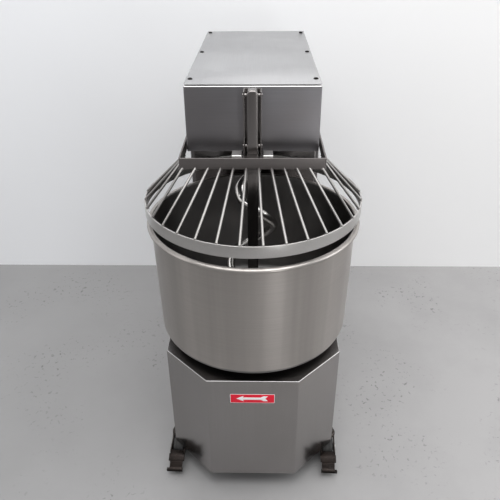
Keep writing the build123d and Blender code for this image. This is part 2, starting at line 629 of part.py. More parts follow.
# Nine rods a side: six from the front bar and three from the side arm, fanned over the ring.
ROD_ANGLE_FIRST = 5.4
ROD_ANGLE_STEP = 10.85
ROD_TOP_Z = GUARD_BAR_Z + 2
front_rod_places = [(13.6 + 27.3 * k, GUARD_FRONT_Y + GUARD_THICK / 2) for k in range(6)]
side_rod_places = [(GUARD_HALF - GUARD_THICK / 2, y) for y in (-222, -200, -188)]
with BuildPart() as guard_rods:
    for k, (rod_x, rod_y) in enumerate(front_rod_places + side_rod_places):
        ring_angle = radians(ROD_ANGLE_FIRST + ROD_ANGLE_STEP * k)
        for side in (-1, 1):
            top = Vector(side * rod_x, rod_y, ROD_TOP_Z)
            foot = Vector(
                side * (RIM_R - 2.2) * sin(ring_angle),
                BOWL_Y - (RIM_R - 2.2) * cos(ring_angle),
                RING_Z + RING_HEIGHT,
            )
            with BuildSketch(Plane(origin=top, z_dir=foot - top)) as rod_section:
                Circle(ROD_R)
            extrude(rod_section.sketch, amount=(foot - top).length)
guard_rods.part.label = "guard_rods"
export_step(guard_rods.part, "parts/guard_rods.step")

with BuildPart() as guard_pivot_pins:
    for side in (-1, 1):
        for radius, reach in ((10, GUARD_INNER - CLEAR), (6, GUARD_HALF + CLEAR + 4)):
            length = reach - HEAD_HALF
            middle = side * (HEAD_HALF + length / 2)
            with Locations(Location((middle, GUARD_PIVOT_Y, GUARD_PIVOT_Z), (0, 90, 0))):
                Cylinder(radius, length)
        cap_x = side * (GUARD_HALF + CLEAR + 2)
        with Locations(Location((cap_x, GUARD_PIVOT_Y, GUARD_PIVOT_Z), (0, 90, 0))):
            Cylinder(10, 4)
guard_pivot_pins.part.label = "guard_pivot_pins"
export_step(guard_pivot_pins.part, "parts/guard_pivot_pins.step")

with BuildPart() as guard_switch:
    block((-140, -112), (GUARD_PIVOT_Y - 20, GUARD_PIVOT_Y + 20), (HEAD_BOTTOM_Z + 8, HEAD_BOTTOM_Z + 48))
guard_switch.part.label = "guard_switch"
export_step(guard_switch.part, "parts/guard_switch.step")

# ---- controls on the head's right side -------------------------------------------------------
PANEL_X = HEAD_HALF + 2.5
panel_face = Plane.YZ.offset(PANEL_X)
with BuildPart() as control_panel:
    block((HEAD_HALF, PANEL_X), (PANEL_MID_Y - 120, PANEL_MID_Y + 120), (PANEL_MID_Z - 38, PANEL_MID_Z + 38))
    fillet(control_panel.edges().filter_by(Axis.X), 6)
    with BuildSketch(panel_face):
        for name in ("start_button", "stop_button"):
            with Locations((control_places[name][0], PANEL_MID_Z)):
                Circle(15)
                Circle(11.8, mode=Mode.SUBTRACT)
    extrude(amount=4)
    with BuildSketch(panel_face):
        for control_y, shank in control_places.values():
            with Locations((control_y, PANEL_MID_Z)):
                Circle(shank + CLEAR)
    extrude(amount=-5, mode=Mode.SUBTRACT)
control_panel.part.label = "control_panel"
export_step(control_panel.part, "parts/control_panel.step")

BUTTON_TRAVEL = 3.0
for name in ("start_button", "stop_button"):
    button_y = control_places[name][0]
    with BuildPart() as button:
        with BuildSketch(Plane.YZ.offset(PANEL_X + BUTTON_TRAVEL + CLEAR)):
            with Locations((button_y, PANEL_MID_Z)):
                Circle(11.4)
        extrude(amount=4)
        fillet(button.edges().sort_by(Axis.X)[-1], 1)
        with BuildSketch(Plane.YZ.offset(PANEL_X + BUTTON_TRAVEL + CLEAR)):
            with Locations((button_y, PANEL_MID_Z)):
                Circle(8)
        extrude(amount=-12)
    button.part.label = name
    export_step(button.part, f"parts/{name}.step")

stop_y = control_places["emergency_stop"][0]
with BuildPart() as emergency_stop:
    with BuildSketch(Plane.YZ.offset(PANEL_X + 7)):
        with Locations((stop_y, PANEL_MID_Z)):
            Circle(19)
    extrude(amount=10)
    fillet(emergency_stop.edges().sort_by(Axis.X)[-1], 4)
    with BuildSketch(Plane.YZ.offset(PANEL_X + 7)):
        with Locations((stop_y, PANEL_MID_Z)):
            Circle(8)
    extrude(amount=-16)
emergency_stop.part.label = "emergency_stop"
export_step(emergency_stop.part, "parts/emergency_stop.step")

knob_y = control_places["timer_knob"][0]
with BuildPart() as timer_knob:
    with BuildSketch(Plane.YZ.offset(PANEL_X + CLEAR)):
        with Locations((knob_y, PANEL_MID_Z)):
            Circle(18)
    extrude(amount=6)
    with BuildSketch(Plane.YZ.offset(PANEL_X + CLEAR + 6)):
        with Locations((knob_y, PANEL_MID_Z)):
            Rectangle(9, 32)
    extrude(amount=9)
    fillet(timer_knob.edges().filter_by(Axis.X), 2)
    with BuildSketch(Plane.YZ.offset(PANEL_X + CLEAR)):
        with Locations((knob_y, PANEL_MID_Z)):
            Circle(4)
    extrude(amount=-14)
timer_knob.part.label = "timer_knob"
export_step(timer_knob.part, "parts/timer_knob.step")

# ---- casters -------------------------------------------------------------------------------
SWIVEL_TOP = 62.0  # top of the swivelling fork, under the fixed race
SWIVEL_R = 21.5
RACE_R = 15.0
KINGPIN_R = 5.0
KINGPIN_Z = 51.0
PLATE = 3.0
LEG_IN = WHEEL_HALF + 3.0
LEG = 3.0
LEG_OUT = LEG_IN + LEG
AXLE_R = 4.0
AXLE_HEAD_R = 6.5
AXLE_HEAD = 2.5
HUB_R = WHEEL_R - 6
PEDAL_U = 55.0  # pedal pivot, along the caster's trail
PEDAL_Z = 35.0
PEDAL_PIVOT_R = 2.5
PEDAL_END = PEDAL_U + 49
TIP_Z = 15.0


def caster_plane(x, y, heading):
    """The caster's own plane: its origin on the swivel axis, its x along the trail."""
    return Plane(origin=(x, y, 0), x_dir=(sin(heading), -cos(heading), 0), z_dir=(0, 0, 1))


def upright(plane, across):
    """The caster's upright middle plane, moved sideways."""
    middle = Plane(origin=plane.origin, x_dir=plane.x_dir, z_dir=-plane.y_dir)
    return middle.offset(across)


def disc(plane, across, width, u, z, radius, mode=Mode.ADD):
    """A disc that stands in the caster's plane, centred at (u, z)."""
    with BuildSketch(upright(plane, across)) as face:
        with Locations((u, z)):
            Circle(radius)
    extrude(face.sketch, amount=width, mode=mode)


def slab(plane, across, width, *points):
    """A plate as wide as stated whose side view is the outline through the points (u, z)."""
    with BuildSketch(upright(plane, across)) as face:
        with BuildLine():
            Polyline(*points, close=True)
        make_face()
    extrude(face.sketch, amount=width)


front_casters = {
    "left": caster_plane(-CASTER_X, CASTER_Y, radians(CASTER_TURN)),
    "right": caster_plane(CASTER_X, CASTER_Y, radians(CASTER_TURN)),
}
rear_casters = {
    "left": caster_plane(-REAR_CASTER_X, REAR_CASTER_Y, 0),
    "right": caster_plane(REAR_CASTER_X, REAR_CASTER_Y, 0),
}

with BuildPart() as caster_plates:
    for plane in front_casters.values():
        axis_x, axis_y = plane.origin.X, plane.origin.Y
        inboard = -30 if axis_x > 0 else 30
        with BuildSketch(Plane.XY.offset(RAIL_Z - PLATE)) as plate_plan:
            with Locations((axis_x, axis_y)):
                Circle(RACE_R + 1)
            with Locations((axis_x + inboard, axis_y)):
                Rectangle(20, 44)
            make_hull()
        extrude(plate_plan.sketch, amount=PLATE)
        with Locations((axis_x, axis_y, (SWIVEL_TOP + CLEAR + RAIL_Z - PLATE) / 2)):
            Cylinder(RACE_R, RAIL_Z - PLATE - SWIVEL_TOP - CLEAR)
        with Locations((axis_x, axis_y, (KINGPIN_Z + RAIL_Z) / 2)):
            Cylinder(KINGPIN_R, RAIL_Z - KINGPIN_Z)
caster_plates.part.label = "caster_plates"
export_step(caster_plates.part, "parts/caster_plates.step")

for side, plane in front_casters.items():
    with BuildPart() as caster_fork:
        with BuildSketch(plane.offset(SWIVEL_TOP - 9)):
            Circle(SWIVEL_R)
        extrude(amount=9)
        fillet(caster_fork.edges().sort_by(Axis.Z)[-1], 6)
        for across in (LEG_IN, -LEG_OUT):
            slab(
                plane, across, LEG,
                (-9, SWIVEL_TOP - 6),
                (9, SWIVEL_TOP - 6),
                (9, SKIRT_Z - 1),
                (24, SKIRT_Z - 5),
                (PEDAL_U + 2, PEDAL_Z + 7),
                (PEDAL_U + 7, PEDAL_Z),
                (PEDAL_U + 2, PEDAL_Z - 7),
                (CASTER_TRAIL + 7, WHEEL_R - 9),
                (CASTER_TRAIL - 7, WHEEL_R - 9),
                (-14, SKIRT_Z - 7),
                (-9, SKIRT_Z - 1),
            )
        disc(plane, -LEG_OUT - 1, 2 * LEG_OUT + 2, CASTER_TRAIL, WHEEL_R, AXLE_R + 0.02, Mode.SUBTRACT)
        disc(plane, -LEG_OUT - 1, 2 * LEG_OUT + 2, PEDAL_U, PEDAL_Z, PEDAL_PIVOT_R + 0.05, Mode.SUBTRACT)
        with BuildSketch(plane.offset(KINGPIN_Z - 10)):
            Circle(KINGPIN_R + 0.05)
        extrude(amount=30, mode=Mode.SUBTRACT)
    caster_fork.part.label = f"front_fork_{side}"
    export_step(caster_fork.part, f"parts/front_fork_{side}.step")

    # The pedal: an eye between the legs, a wide shoulder, a narrower tread and a lipped tip.
    outer = 1 if side == "left" else -1
    tip_edges = sorted((outer * 23, outer * -19))
    with BuildPart() as brake_pedal:
        disc(plane, -LEG_IN + 0.6, 2 * LEG_IN - 1.2, PEDAL_U, PEDAL_Z, 5)
        slab(
            plane, -LEG_IN + 0.6, 2 * LEG_IN - 1.2,
            (PEDAL_U, PEDAL_Z + 5),
            (PEDAL_U + 12, PEDAL_Z + 5),
            (PEDAL_U + 12, PEDAL_Z),
            (PEDAL_U + 2, PEDAL_Z - 4.5),
        )
        slab(
            plane, -21, 42,
            (PEDAL_U + 9, PEDAL_Z + 5),
            (PEDAL_U + 14, PEDAL_Z + 4),
            (PEDAL_U + 27, PEDAL_Z - 4),
            (PEDAL_U + 25, PEDAL_Z - 8),
            (PEDAL_U + 9, PEDAL_Z),
        )
        slab(
            plane, -17, 34,
            (PEDAL_U + 25, PEDAL_Z - 3),
            (PEDAL_U + 36, PEDAL_Z - 11),
            (PEDAL_END, TIP_Z + 5),
            (PEDAL_END, TIP_Z),
            (PEDAL_U + 34, PEDAL_Z - 17),
            (PEDAL_U + 24, PEDAL_Z - 9),
        )
        slab(
            plane, tip_edges[0], tip_edges[1] - tip_edges[0],
            (PEDAL_END - 8, TIP_Z + 6.5),
            (PEDAL_END, TIP_Z + 5.5),
            (PEDAL_END, TIP_Z - 1),
            (PEDAL_END - 8, TIP_Z),
        )
        disc(plane, -LEG_OUT - 1, 2 * LEG_OUT + 2, PEDAL_U, PEDAL_Z, PEDAL_PIVOT_R)
    brake_pedal.part.label = f"brake_pedal_{side}"
    export_step(brake_pedal.part, f"parts/brake_pedal_{side}.step")

    with BuildPart() as axle:
        disc(plane, -LEG_OUT, 2 * LEG_OUT, CASTER_TRAIL, WHEEL_R, AXLE_R)
        for across in (-LEG_OUT - AXLE_HEAD, LEG_OUT):
            disc(plane, across, AXLE_HEAD, CASTER_TRAIL, WHEEL_R, AXLE_HEAD_R)
    axle.part.label = f"front_axle_{side}"
    export_step(axle.part, f"parts/front_axle_{side}.step")

# Rear casters do not swivel: each fork is one folded plate under the chassis.
with BuildPart() as rear_forks:
    for plane in rear_casters.values():
        with BuildSketch(plane.offset(RAIL_Z - PLATE)) as plate_plan:
            Rectangle(58, 52)
        extrude(plate_plan.sketch, amount=PLATE)
        for across in (LEG_IN, -LEG_OUT):
            slab(
                plane, across, LEG,
                (-20, RAIL_Z - 2),
                (20, RAIL_Z - 2),
                (8, WHEEL_R - 9),
                (-8, WHEEL_R - 9),
            )
        disc(plane, -LEG_OUT - 1, 2 * LEG_OUT + 2, 0, WHEEL_R, AXLE_R + 0.02, Mode.SUBTRACT)
rear_forks.part.label = "rear_forks"
export_step(rear_forks.part, "parts/rear_forks.step")

with BuildPart() as rear_axles:
    for plane in rear_casters.values():
        disc(plane, -LEG_OUT, 2 * LEG_OUT, 0, WHEEL_R, AXLE_R)
        for across in (-LEG_OUT - AXLE_HEAD, LEG_OUT):
            disc(plane, across, AXLE_HEAD, 0, WHEEL_R, AXLE_HEAD_R)
rear_axles.part.label = "rear_axles"
export_step(rear_axles.part, "parts/rear_axles.step")

wheels = {f"front_{side}": (plane, CASTER_TRAIL) for side, plane in front_casters.items()}
wheels.update({f"rear_{side}": (plane, 0) for side, plane in rear_casters.items()})
for place, (plane, trail) in wheels.items():
    with BuildPart() as wheel_hub:
        disc(plane, -WHEEL_HALF + 1, 2 * WHEEL_HALF - 2, trail, WHEEL_R, HUB_R)
        disc(plane, -LEG_IN + CLEAR, 2 * (LEG_IN - CLEAR), trail, WHEEL_R, 9)
        disc(plane, -LEG_IN, 2 * LEG_IN, trail, WHEEL_R, AXLE_R + 0.06, Mode.SUBTRACT)
    wheel_hub.part.label = f"{place}_wheel"
    export_step(wheel_hub.part, f"parts/{place}_wheel.step")

    with BuildPart() as tyre:
        disc(plane, -WHEEL_HALF, 2 * WHEEL_HALF, trail, WHEEL_R, WHEEL_R)
        disc(plane, -WHEEL_HALF, 2 * WHEEL_HALF, trail, WHEEL_R, HUB_R, Mode.SUBTRACT)
        tread_edges = tyre.edges().filter_by(GeomType.CIRCLE).group_by(SortBy.RADIUS)[-1]
        fillet(tread_edges, 3)
    tyre.part.label = f"{place}_tyre"
    export_step(tyre.part, f"parts/{place}_tyre.step")
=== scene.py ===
import bpy
from math import atan2, cos, pi, radians, sin, tan
from mathutils import Matrix, Vector


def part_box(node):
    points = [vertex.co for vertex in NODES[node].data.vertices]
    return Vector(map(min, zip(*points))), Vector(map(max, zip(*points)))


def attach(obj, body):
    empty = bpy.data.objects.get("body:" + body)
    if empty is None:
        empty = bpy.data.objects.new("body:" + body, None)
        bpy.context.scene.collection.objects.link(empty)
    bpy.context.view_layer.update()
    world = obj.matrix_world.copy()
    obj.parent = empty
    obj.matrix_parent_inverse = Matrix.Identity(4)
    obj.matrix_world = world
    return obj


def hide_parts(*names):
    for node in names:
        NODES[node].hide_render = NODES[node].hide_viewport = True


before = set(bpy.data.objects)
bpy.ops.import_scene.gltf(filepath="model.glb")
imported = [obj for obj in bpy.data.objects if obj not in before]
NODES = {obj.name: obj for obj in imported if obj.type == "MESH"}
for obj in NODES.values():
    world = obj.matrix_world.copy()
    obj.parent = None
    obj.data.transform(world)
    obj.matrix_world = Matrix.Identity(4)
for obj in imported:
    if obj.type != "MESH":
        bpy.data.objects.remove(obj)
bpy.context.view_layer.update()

# ---- where things are, from the frame ------------------------------------------------------
BOWL_LO, BOWL_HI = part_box("bowl")
BOWL_Y = (BOWL_LO.y + BOWL_HI.y) / 2
RIM_R = BOWL_HI.x
RIM_Z = BOWL_HI.z
HEAD_LO, HEAD_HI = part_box("head_shell")
COVER_LO, COVER_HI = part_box("top_cover")
BASE_LO, BASE_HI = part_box("base_shell")
COLUMN_LO, COLUMN_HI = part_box("column_shell")
RING_LO, RING_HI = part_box("guard_ring")
GUARD_LO, GUARD_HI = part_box("guard_frame")
SHAFT_LO, SHAFT_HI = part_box("hook_shaft")
SHEET = 0.002
WALL_MIDDLE_R = 0.2390  # of the bowl's wall, halfway through its thickness, at the height of the rim
WALL_TAPER = 0.0182  # how much narrower the wall is for each metre below the rim


# ---- mesh building -------------------------------------------------------------------------
def skin(name, loops, closed=False):
    """A mesh skinned over loops of equal length.  Closed joins the last loop to the first,
    open ones are capped."""
    points = [tuple(p) for loop in loops for p in loop]
    n = len(loops[0])
    rows = len(loops)
    faces = []
    for i in range(rows if closed else rows - 1):
        a = i * n
        b = ((i + 1) % rows) * n
        faces += [(a + k, a + (k + 1) % n, b + (k + 1) % n, b + k) for k in range(n)]
    if not closed:
        faces.append(tuple(range(n - 1, -1, -1)))
        faces.append(tuple((rows - 1) * n + k for k in range(n)))
    mesh = bpy.data.meshes.new(name)
    mesh.from_pydata(points, [], faces)
    mesh.validate()
    return mesh


def joined(name, meshes):
    """One mesh holding several."""
    points = []
    faces = []
    for mesh in meshes:
        start = len(points)
        points += [tuple(v.co) for v in mesh.vertices]
        faces += [tuple(start + i for i in p.vertices) for p in mesh.polygons]
        bpy.data.meshes.remove(mesh)
    mesh = bpy.data.meshes.new(name)
    mesh.from_pydata(points, [], faces)
    return mesh


def piece(name, mesh, body, material, slot, *nodes, sharp=35):
    """Puts a finished mesh in the scene, riding on its body in place of its CAD nodes."""
    import bmesh
    work = bmesh.new()
    work.from_mesh(mesh)
    bmesh.ops.recalc_face_normals(work, faces=work.faces)
    work.to_mesh(mesh)
    work.free()
    for polygon in mesh.polygons:
        polygon.use_smooth = True
    mesh.set_sharp_from_angle(angle=radians(sharp))
    obj = bpy.data.objects.new(name, mesh)
    bpy.context.scene.collection.objects.link(obj)
    mesh.materials.append(material)
    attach(obj, body)
    if nodes:
        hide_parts(*nodes)


def circle(radius, z, centre=(0, 0), steps=96):
    turns = [2 * pi * k / steps for k in range(steps)]
    return [Vector((centre[0] + radius * cos(a), centre[1] + radius * sin(a), z)) for a in turns]


def arc(centre, radius, start, end, steps):
    """Points (r, z) along an arc of a profile, angles in degrees."""
    return [
        (
            centre[0] + radius * cos(radians(start + (end - start) * k / steps)),
            centre[1] + radius * sin(radians(start + (end - start) * k / steps)),
        )
        for k in range(steps + 1)
    ]


def lathe(name, profile, centre=(0, 0), steps=96, closed=False):
    return skin(name, [circle(r, z, centre, steps) for r, z in profile], closed)


def turned(mesh, origin, direction):
    """Moves a mesh made about +Z so that its axis points along direction, from origin."""
    turn = Vector((0, 0, 1)).rotation_difference(Vector(direction)).to_matrix().to_4x4()
    mesh.transform(Matrix.Translation(Vector(origin)) @ turn)
    return mesh


def outline_loop(points, inset, radius, steps=5):
    """A counter-clockwise outline moved inwards by inset, with its corners rounded."""
    result = []
    n = len(points)
    for i in range(n):
        here = Vector(points[i])
        into = (here - Vector(points[i - 1])).normalized()
        out = (Vector(points[(i + 1) % n]) - here).normalized()
        n_in = Vector((-into.y, into.x))
        n_out = Vector((-out.y, out.x))
        corner = here + (n_in + n_out) * inset / (1 + n_in.dot(n_out))
        turn = atan2(into.x * out.y - into.y * out.x, into.dot(out))
        if abs(turn) < 0.001:
            result.append(corner)
            continue
        bend = radius - inset if turn > 0 else radius + inset
        bend = max(bend, 0.0002)
        start = corner - into * bend * tan(abs(turn) / 2)
        side = 1 if turn > 0 else -1
        middle = start + n_in * bend * side
        arm = start - middle
        for k in range(steps + 1):
            a = turn * k / steps
            swung = Vector((arm.x * cos(a) - arm.y * sin(a), arm.x * sin(a) + arm.y * cos(a)))
            result.append(middle + swung)
    return result


def flat_loops(points, section, radius, steps):
    """The outline at each (inset, height) of a section."""
    return [
        [Vector((p.x, p.y, z)) for p in outline_loop(points, inset, radius, steps)]
        for inset, z in section
    ]


def prism(name, points, low, high, radius=0.002, edge=0.0005, steps=5, place=None, edge_steps=3):
    """A solid on an outline, between two heights, with rounded corners and rounded edges."""
    loops = []
    for k in range(edge_steps + 1):
        a = radians(90 * k / edge_steps)
        loops.append((edge * (1 - sin(a)), low + edge * (1 - cos(a))))
    for k in range(edge_steps + 1):
        a = radians(90 - 90 * k / edge_steps)
        loops.append((edge * (1 - sin(a)), high - edge * (1 - cos(a))))
    mesh = skin(name, flat_loops(points, loops, radius, steps))
    if place is not None:
        mesh.transform(place)
    return mesh


def box_points(x0, x1, y0, y1):
    return [(x0, y0), (x1, y0), (x1, y1), (x0, y1)]


def swept_wall(name, points, section, radius, steps=6):
    """A folded sheet that runs round an outline.  Section is a closed list of (inset, height)."""
    return skin(name, flat_loops(points, section, radius, steps), closed=True)


def tube(name, path, radius, steps=24, round_end=0.0):
    """A round bar along a path, its frame carried along without twist."""
    path = [Vector(p) for p in path]
    last = len(path) - 1
    heading = [(path[min(i + 1, last)] - path[max(i - 1, 0)]).normalized() for i in range(last + 1)]
    side = heading[0].orthogonal().normalized()
    loops = []
    for i, point in enumerate(path):
        if i:
            side = heading[i - 1].rotation_difference(heading[i]) @ side
        across = heading[i].cross(side)
        ends = [(0.0, 1.0)]
        if round_end and i in (0, last):
            way = -1 if i == 0 else 1
            ends = [
                (way * round_end * cos(radians(a)), 1 - round_end / radius * (1 - sin(radians(a))))
                for a in (0, 30, 60, 90)[::-way]
            ]
        for shift, scale in ends:
            middle = point + heading[i] * shift
            turns = [2 * pi * k / steps for k in range(steps)]
            loops.append([middle + (side * cos(a) + across * sin(a)) * radius * scale for a in turns])
    return skin(name, loops)


def facing(origin, x_dir, z_dir):
    """The place of a flat prism whose own x and z point along these directions in the world."""
    x = Vector(x_dir).normalized()
    z = Vector(z_dir).normalized()
    y = z.cross(x)
    turn = Matrix((x, y, z)).transposed().to_4x4()
    return Matrix.Translation(Vector(origin)) @ turn


# ---- materials -----------------------------------------------------------------------------
def new_material(name):
    material = bpy.data.materials.new(name)
    material.use_nodes = True
    tree = material.node_tree
    shader = tree.nodes["Principled BSDF"]
    return material, tree, shader


def coordinates(tree, scale=(1, 1, 1), rotation=(0, 0, 0)):
    source = tree.nodes.new("ShaderNodeTexCoord")
    mapping = tree.nodes.new("ShaderNodeMapping")
    mapping.inputs["Scale"].default_value = scale
    mapping.inputs["Rotation"].default_value = rotation
    tree.links.new(source.outputs["Object"], mapping.inputs["Vector"])
    return mapping.outputs["Vector"]


def noise(tree, vector, scale, detail=3.0, roughness=0.5, distortion=0.0):
    node = tree.nodes.new("ShaderNodeTexNoise")
    node.inputs["Scale"].default_value = scale
    node.inputs["Detail"].default_value = detail
    node.inputs["Roughness"].default_value = roughness
    node.inputs["Distortion"].default_value = distortion
    tree.links.new(vector, node.inputs["Vector"])
    return node.outputs["Fac"]


def span(tree, value, low, high, start=0.0, end=1.0):
    """A value mapped from start..end to low..high."""
    node = tree.nodes.new("ShaderNodeMapRange")
    node.inputs["From Min"].default_value = start
    node.inputs["From Max"].default_value = end
    node.inputs["To Min"].default_value = low
    node.inputs["To Max"].default_value = high
    tree.links.new(value, node.inputs["Value"])
    return node.outputs["Result"]


def mixed(tree, factor, a, b):
    """Two colours mixed by a factor; each may be a colour or a socket."""
    node = tree.nodes.new("ShaderNodeMix")
    node.data_type = "RGBA"
    for socket, value in ((node.inputs[0], factor), (node.inputs[6], a), (node.inputs[7], b)):
        if isinstance(value, bpy.types.NodeSocket):
            tree.links.new(value, socket)
        elif isinstance(value, float):
            socket.default_value = value
        else:
            socket.default_value = (*value, 1)
    return node.outputs[2]


def sums(tree, operation, a, b=0.0):
    node = tree.nodes.new("ShaderNodeMath")
    node.operation = operation
    for socket, value in ((node.inputs[0], a), (node.inputs[1], b)):
        if isinstance(value, bpy.types.NodeSocket):
            tree.links.new(value, socket)
        else:
            socket.default_value = value
    return node.outputs[0]


def bump(tree, shader, height, strength, distance=0.001):
    node = tree.nodes.new("ShaderNodeBump")
    node.inputs["Strength"].default_value = strength
    node.inputs["Distance"].default_value = distance
    tree.links.new(height, node.inputs["Height"])
    tree.links.new(node.outputs["Normal"], shader.inputs["Normal"])


def steel(name, colour, rough, grain=(1, 1, 1), smear=0.2, stain=(0.5, 0.5, 0.5), stains=0.1, depth=0.008):
    """Stainless steel: fine grain stretched along one direction, wiped smears and faint stains.
    Grain is the coordinate scale, small along the brushing."""
    material, tree, shader = new_material(name)
    fine = noise(tree, coordinates(tree, grain), 380, 1.5, 0.5)
    wiped = noise(tree, coordinates(tree, (1, 1, 1), (0.5, 0.3, 0.8)), 5, 2, 0.45, 0.5)
    cloud = noise(tree, coordinates(tree), 2.6, 3, 0.5, 0.3)
    dark = tuple(c * 0.95 for c in colour)
    base = mixed(tree, span(tree, fine, 0, 1, 0.3, 0.7), dark, colour)
    marked = mixed(tree, span(tree, cloud, 0, stains, 0.45, 0.75), base, stain)
    tree.links.new(marked, shader.inputs["Base Color"])
    smeared = span(tree, wiped, rough - smear / 3, rough + smear, 0.35, 0.7)
    tree.links.new(smeared, shader.inputs["Roughness"])
    shader.inputs["Metallic"].default_value = 1.0
    bump(tree, shader, fine, depth)
    return material, tree, shader


def painted_fold_highlight(made, height, rubbed):
    """Paints a highlight into the colour of a sheet's folded edge near a height, where the fold would
    catch the light: painted highlight.
    """
    material, tree, shader = made
    split = tree.nodes.new("ShaderNodeSeparateXYZ")
    tree.links.new(coordinates(tree), split.inputs[0])
    away = sums(tree, "ABSOLUTE", sums(tree, "SUBTRACT", split.outputs[2], height))
    near = span(tree, away, 1, 0, 0.0006, 0.0016)
    tone = shader.inputs["Base Color"].links[0].from_socket
    # painted highlight: the colour is lightened towards the given bright colour near the fold's height
    tree.links.new(mixed(tree, near, tone, rubbed), shader.inputs["Base Color"])
    return material


def spun_steel(name, colour, inner, rough):
    """The bowl's steel: brushed round its axis, so that reflections stretch up and down it, with
    faint upright bands painted into the colour as painted reflection, and an inside painted darker as
    painted shade."""
    material, tree, shader = steel(name, colour, rough, smear=0.06, depth=0.0)
    lines = tree.nodes.new("ShaderNodeTangent")
    lines.direction_type = "RADIAL"
    lines.axis = "Z"
    tree.links.new(lines.outputs["Tangent"], shader.inputs["Tangent"])
    shader.inputs["Anisotropic"].default_value = 0.7
    shader.inputs["Anisotropic Rotation"].default_value = 0.25
    split = tree.nodes.new("ShaderNodeSeparateXYZ")
    tree.links.new(coordinates(tree), split.inputs[0])
    x = split.outputs[0]
    y = sums(tree, "SUBTRACT", split.outputs[1], BOWL_Y)
    squares = sums(tree, "ADD", sums(tree, "MULTIPLY", x, x), sums(tree, "MULTIPLY", y, y))
    radius = sums(tree, "SQRT", squares)
    taper = sums(tree, "MULTIPLY", sums(tree, "SUBTRACT", RIM_Z, split.outputs[2]), WALL_TAPER)
    outside = sums(tree, "GREATER_THAN", sums(tree, "ADD", radius, taper), WALL_MIDDLE_R)
    # painted reflection: upright bands of darker colour stand in for the reflections that stretch up and
    # down the spun steel
    reflection_bands = noise(tree, coordinates(tree, (1, 1, 0.02)), 9, 4, 0.6)
    rings = noise(tree, coordinates(tree, (0.01, 0.01, 1)), 420, 3, 0.6)
    low = tuple(c * 0.74 for c in colour)
    reflection_banded = mixed(tree, span(tree, reflection_bands, 0, 1, 0.35, 0.65), low, colour)
    ring_tone = tuple(c * 0.7 for c in colour)
    turned_tone = mixed(tree, span(tree, rings, 0, 0.2, 0.4, 0.6), reflection_banded, ring_tone)
    # painted shade: the inside of the wall takes the darker inner colour, as the bowl's interior is in
    # shade
    painted_shade_inside = mixed(tree, span(tree, reflection_bands, 0, 1, 0.35, 0.65), tuple(c * 0.8 for c in inner), inner)
    tree.links.new(mixed(tree, outside, painted_shade_inside, turned_tone), shader.inputs["Base Color"])
    return material


def cast(name, colour, rough, metallic=1.0, grit=0.2):
    """Cast, painted or moulded surface with a fine grit and uneven tone."""
    material, tree, shader = new_material(name)
    fine = noise(tree, coordinates(tree), 420, 3, 0.6)
    cloud = noise(tree, coordinates(tree), 11, 4, 0.6)
    dark = tuple(c * 0.72 for c in colour)
    light = tuple(min(1, c * 1.15) for c in colour)
    tone = mixed(tree, span(tree, cloud, 0, 1, 0.3, 0.7), dark, light)
    tree.links.new(tone, shader.inputs["Base Color"])
    tree.links.new(span(tree, cloud, rough - 0.08, rough + 0.1, 0.3, 0.7), shader.inputs["Roughness"])
    shader.inputs["Metallic"].default_value = metallic
    bump(tree, shader, fine, grit, 0.0005)
    return material


def worn_metal(name, colour, wear, rough):
    """Dull plated metal with brown stains and rubbed bright patches."""
    material, tree, shader = new_material(name)
    cloud = noise(tree, coordinates(tree), 38, 6, 0.65, 0.6)
    fine = noise(tree, coordinates(tree), 300, 3, 0.6)
    stained = mixed(tree, span(tree, cloud, 0, 1, 0.42, 0.62), colour, (0.018, 0.013, 0.011))
    rubbed = mixed(tree, span(tree, fine, 0, 0.45, 0.58, 0.78), stained, wear)
    tree.links.new(rubbed, shader.inputs["Base Color"])
    tree.links.new(span(tree, cloud, rough - 0.1, rough + 0.2, 0.35, 0.65), shader.inputs["Roughness"])
    shader.inputs["Metallic"].default_value = 0.85
    bump(tree, shader, fine, 0.25, 0.0006)
    return material


def plastic(name, colour, rough, coat=0.0, dusty=0.12):
    """Moulded plastic or rubber, with a fine moulded grain, dust and scuffs."""
    material, tree, shader = new_material(name)
    fine = noise(tree, coordinates(tree), 700, 2, 0.5)
    dust = noise(tree, coordinates(tree), 24, 6, 0.7)
    tone = mixed(tree, span(tree, dust, 0, dusty, 0.5, 0.75), colour, (0.35, 0.33, 0.30))
    tree.links.new(tone, shader.inputs["Base Color"])
    tree.links.new(span(tree, dust, rough, rough + 0.18, 0.35, 0.7), shader.inputs["Roughness"])
    shader.inputs["Coat Weight"].default_value = coat
    bump(tree, shader, fine, 0.12, 0.0004)
    return material


ALONG_X = (0.02, 1, 1)
ALONG_Y = (1, 0.02, 1)
ALONG_Z = (1, 1, 0.02)
CASING = steel("casing_steel", (0.355, 0.34, 0.335), 0.20, ALONG_Z, 0.06, (0.27, 0.25, 0.23), 0.3)[0]
COVER = steel("cover_steel", (0.42, 0.42, 0.425), 0.36, ALONG_Y, 0.20, (0.5, 0.5, 0.5), 0.15)[0]
HEAD = painted_fold_highlight(
    steel("head_steel", (0.275, 0.270, 0.283), 0.32, ALONG_X, 0.09, (0.20, 0.165, 0.15), 0.5),
    HEAD_HI.z,
    # painted highlight colour along the head's folded top edge
    (0.80, 0.79, 0.78),
)
CABINET = painted_fold_highlight(
    steel("cabinet_steel", (0.345, 0.330, 0.325), 0.20, ALONG_Z, 0.06, (0.27, 0.25, 0.23), 0.3),
    BASE_HI.z,
    # painted highlight colour along the cabinet's folded top edge
    (0.46, 0.45, 0.45),
)
# the second colour is the painted shade of the bowl's inside
BOWL_STEEL = spun_steel("bowl_steel", (0.485, 0.455, 0.43), (0.27, 0.262, 0.258), 0.31)
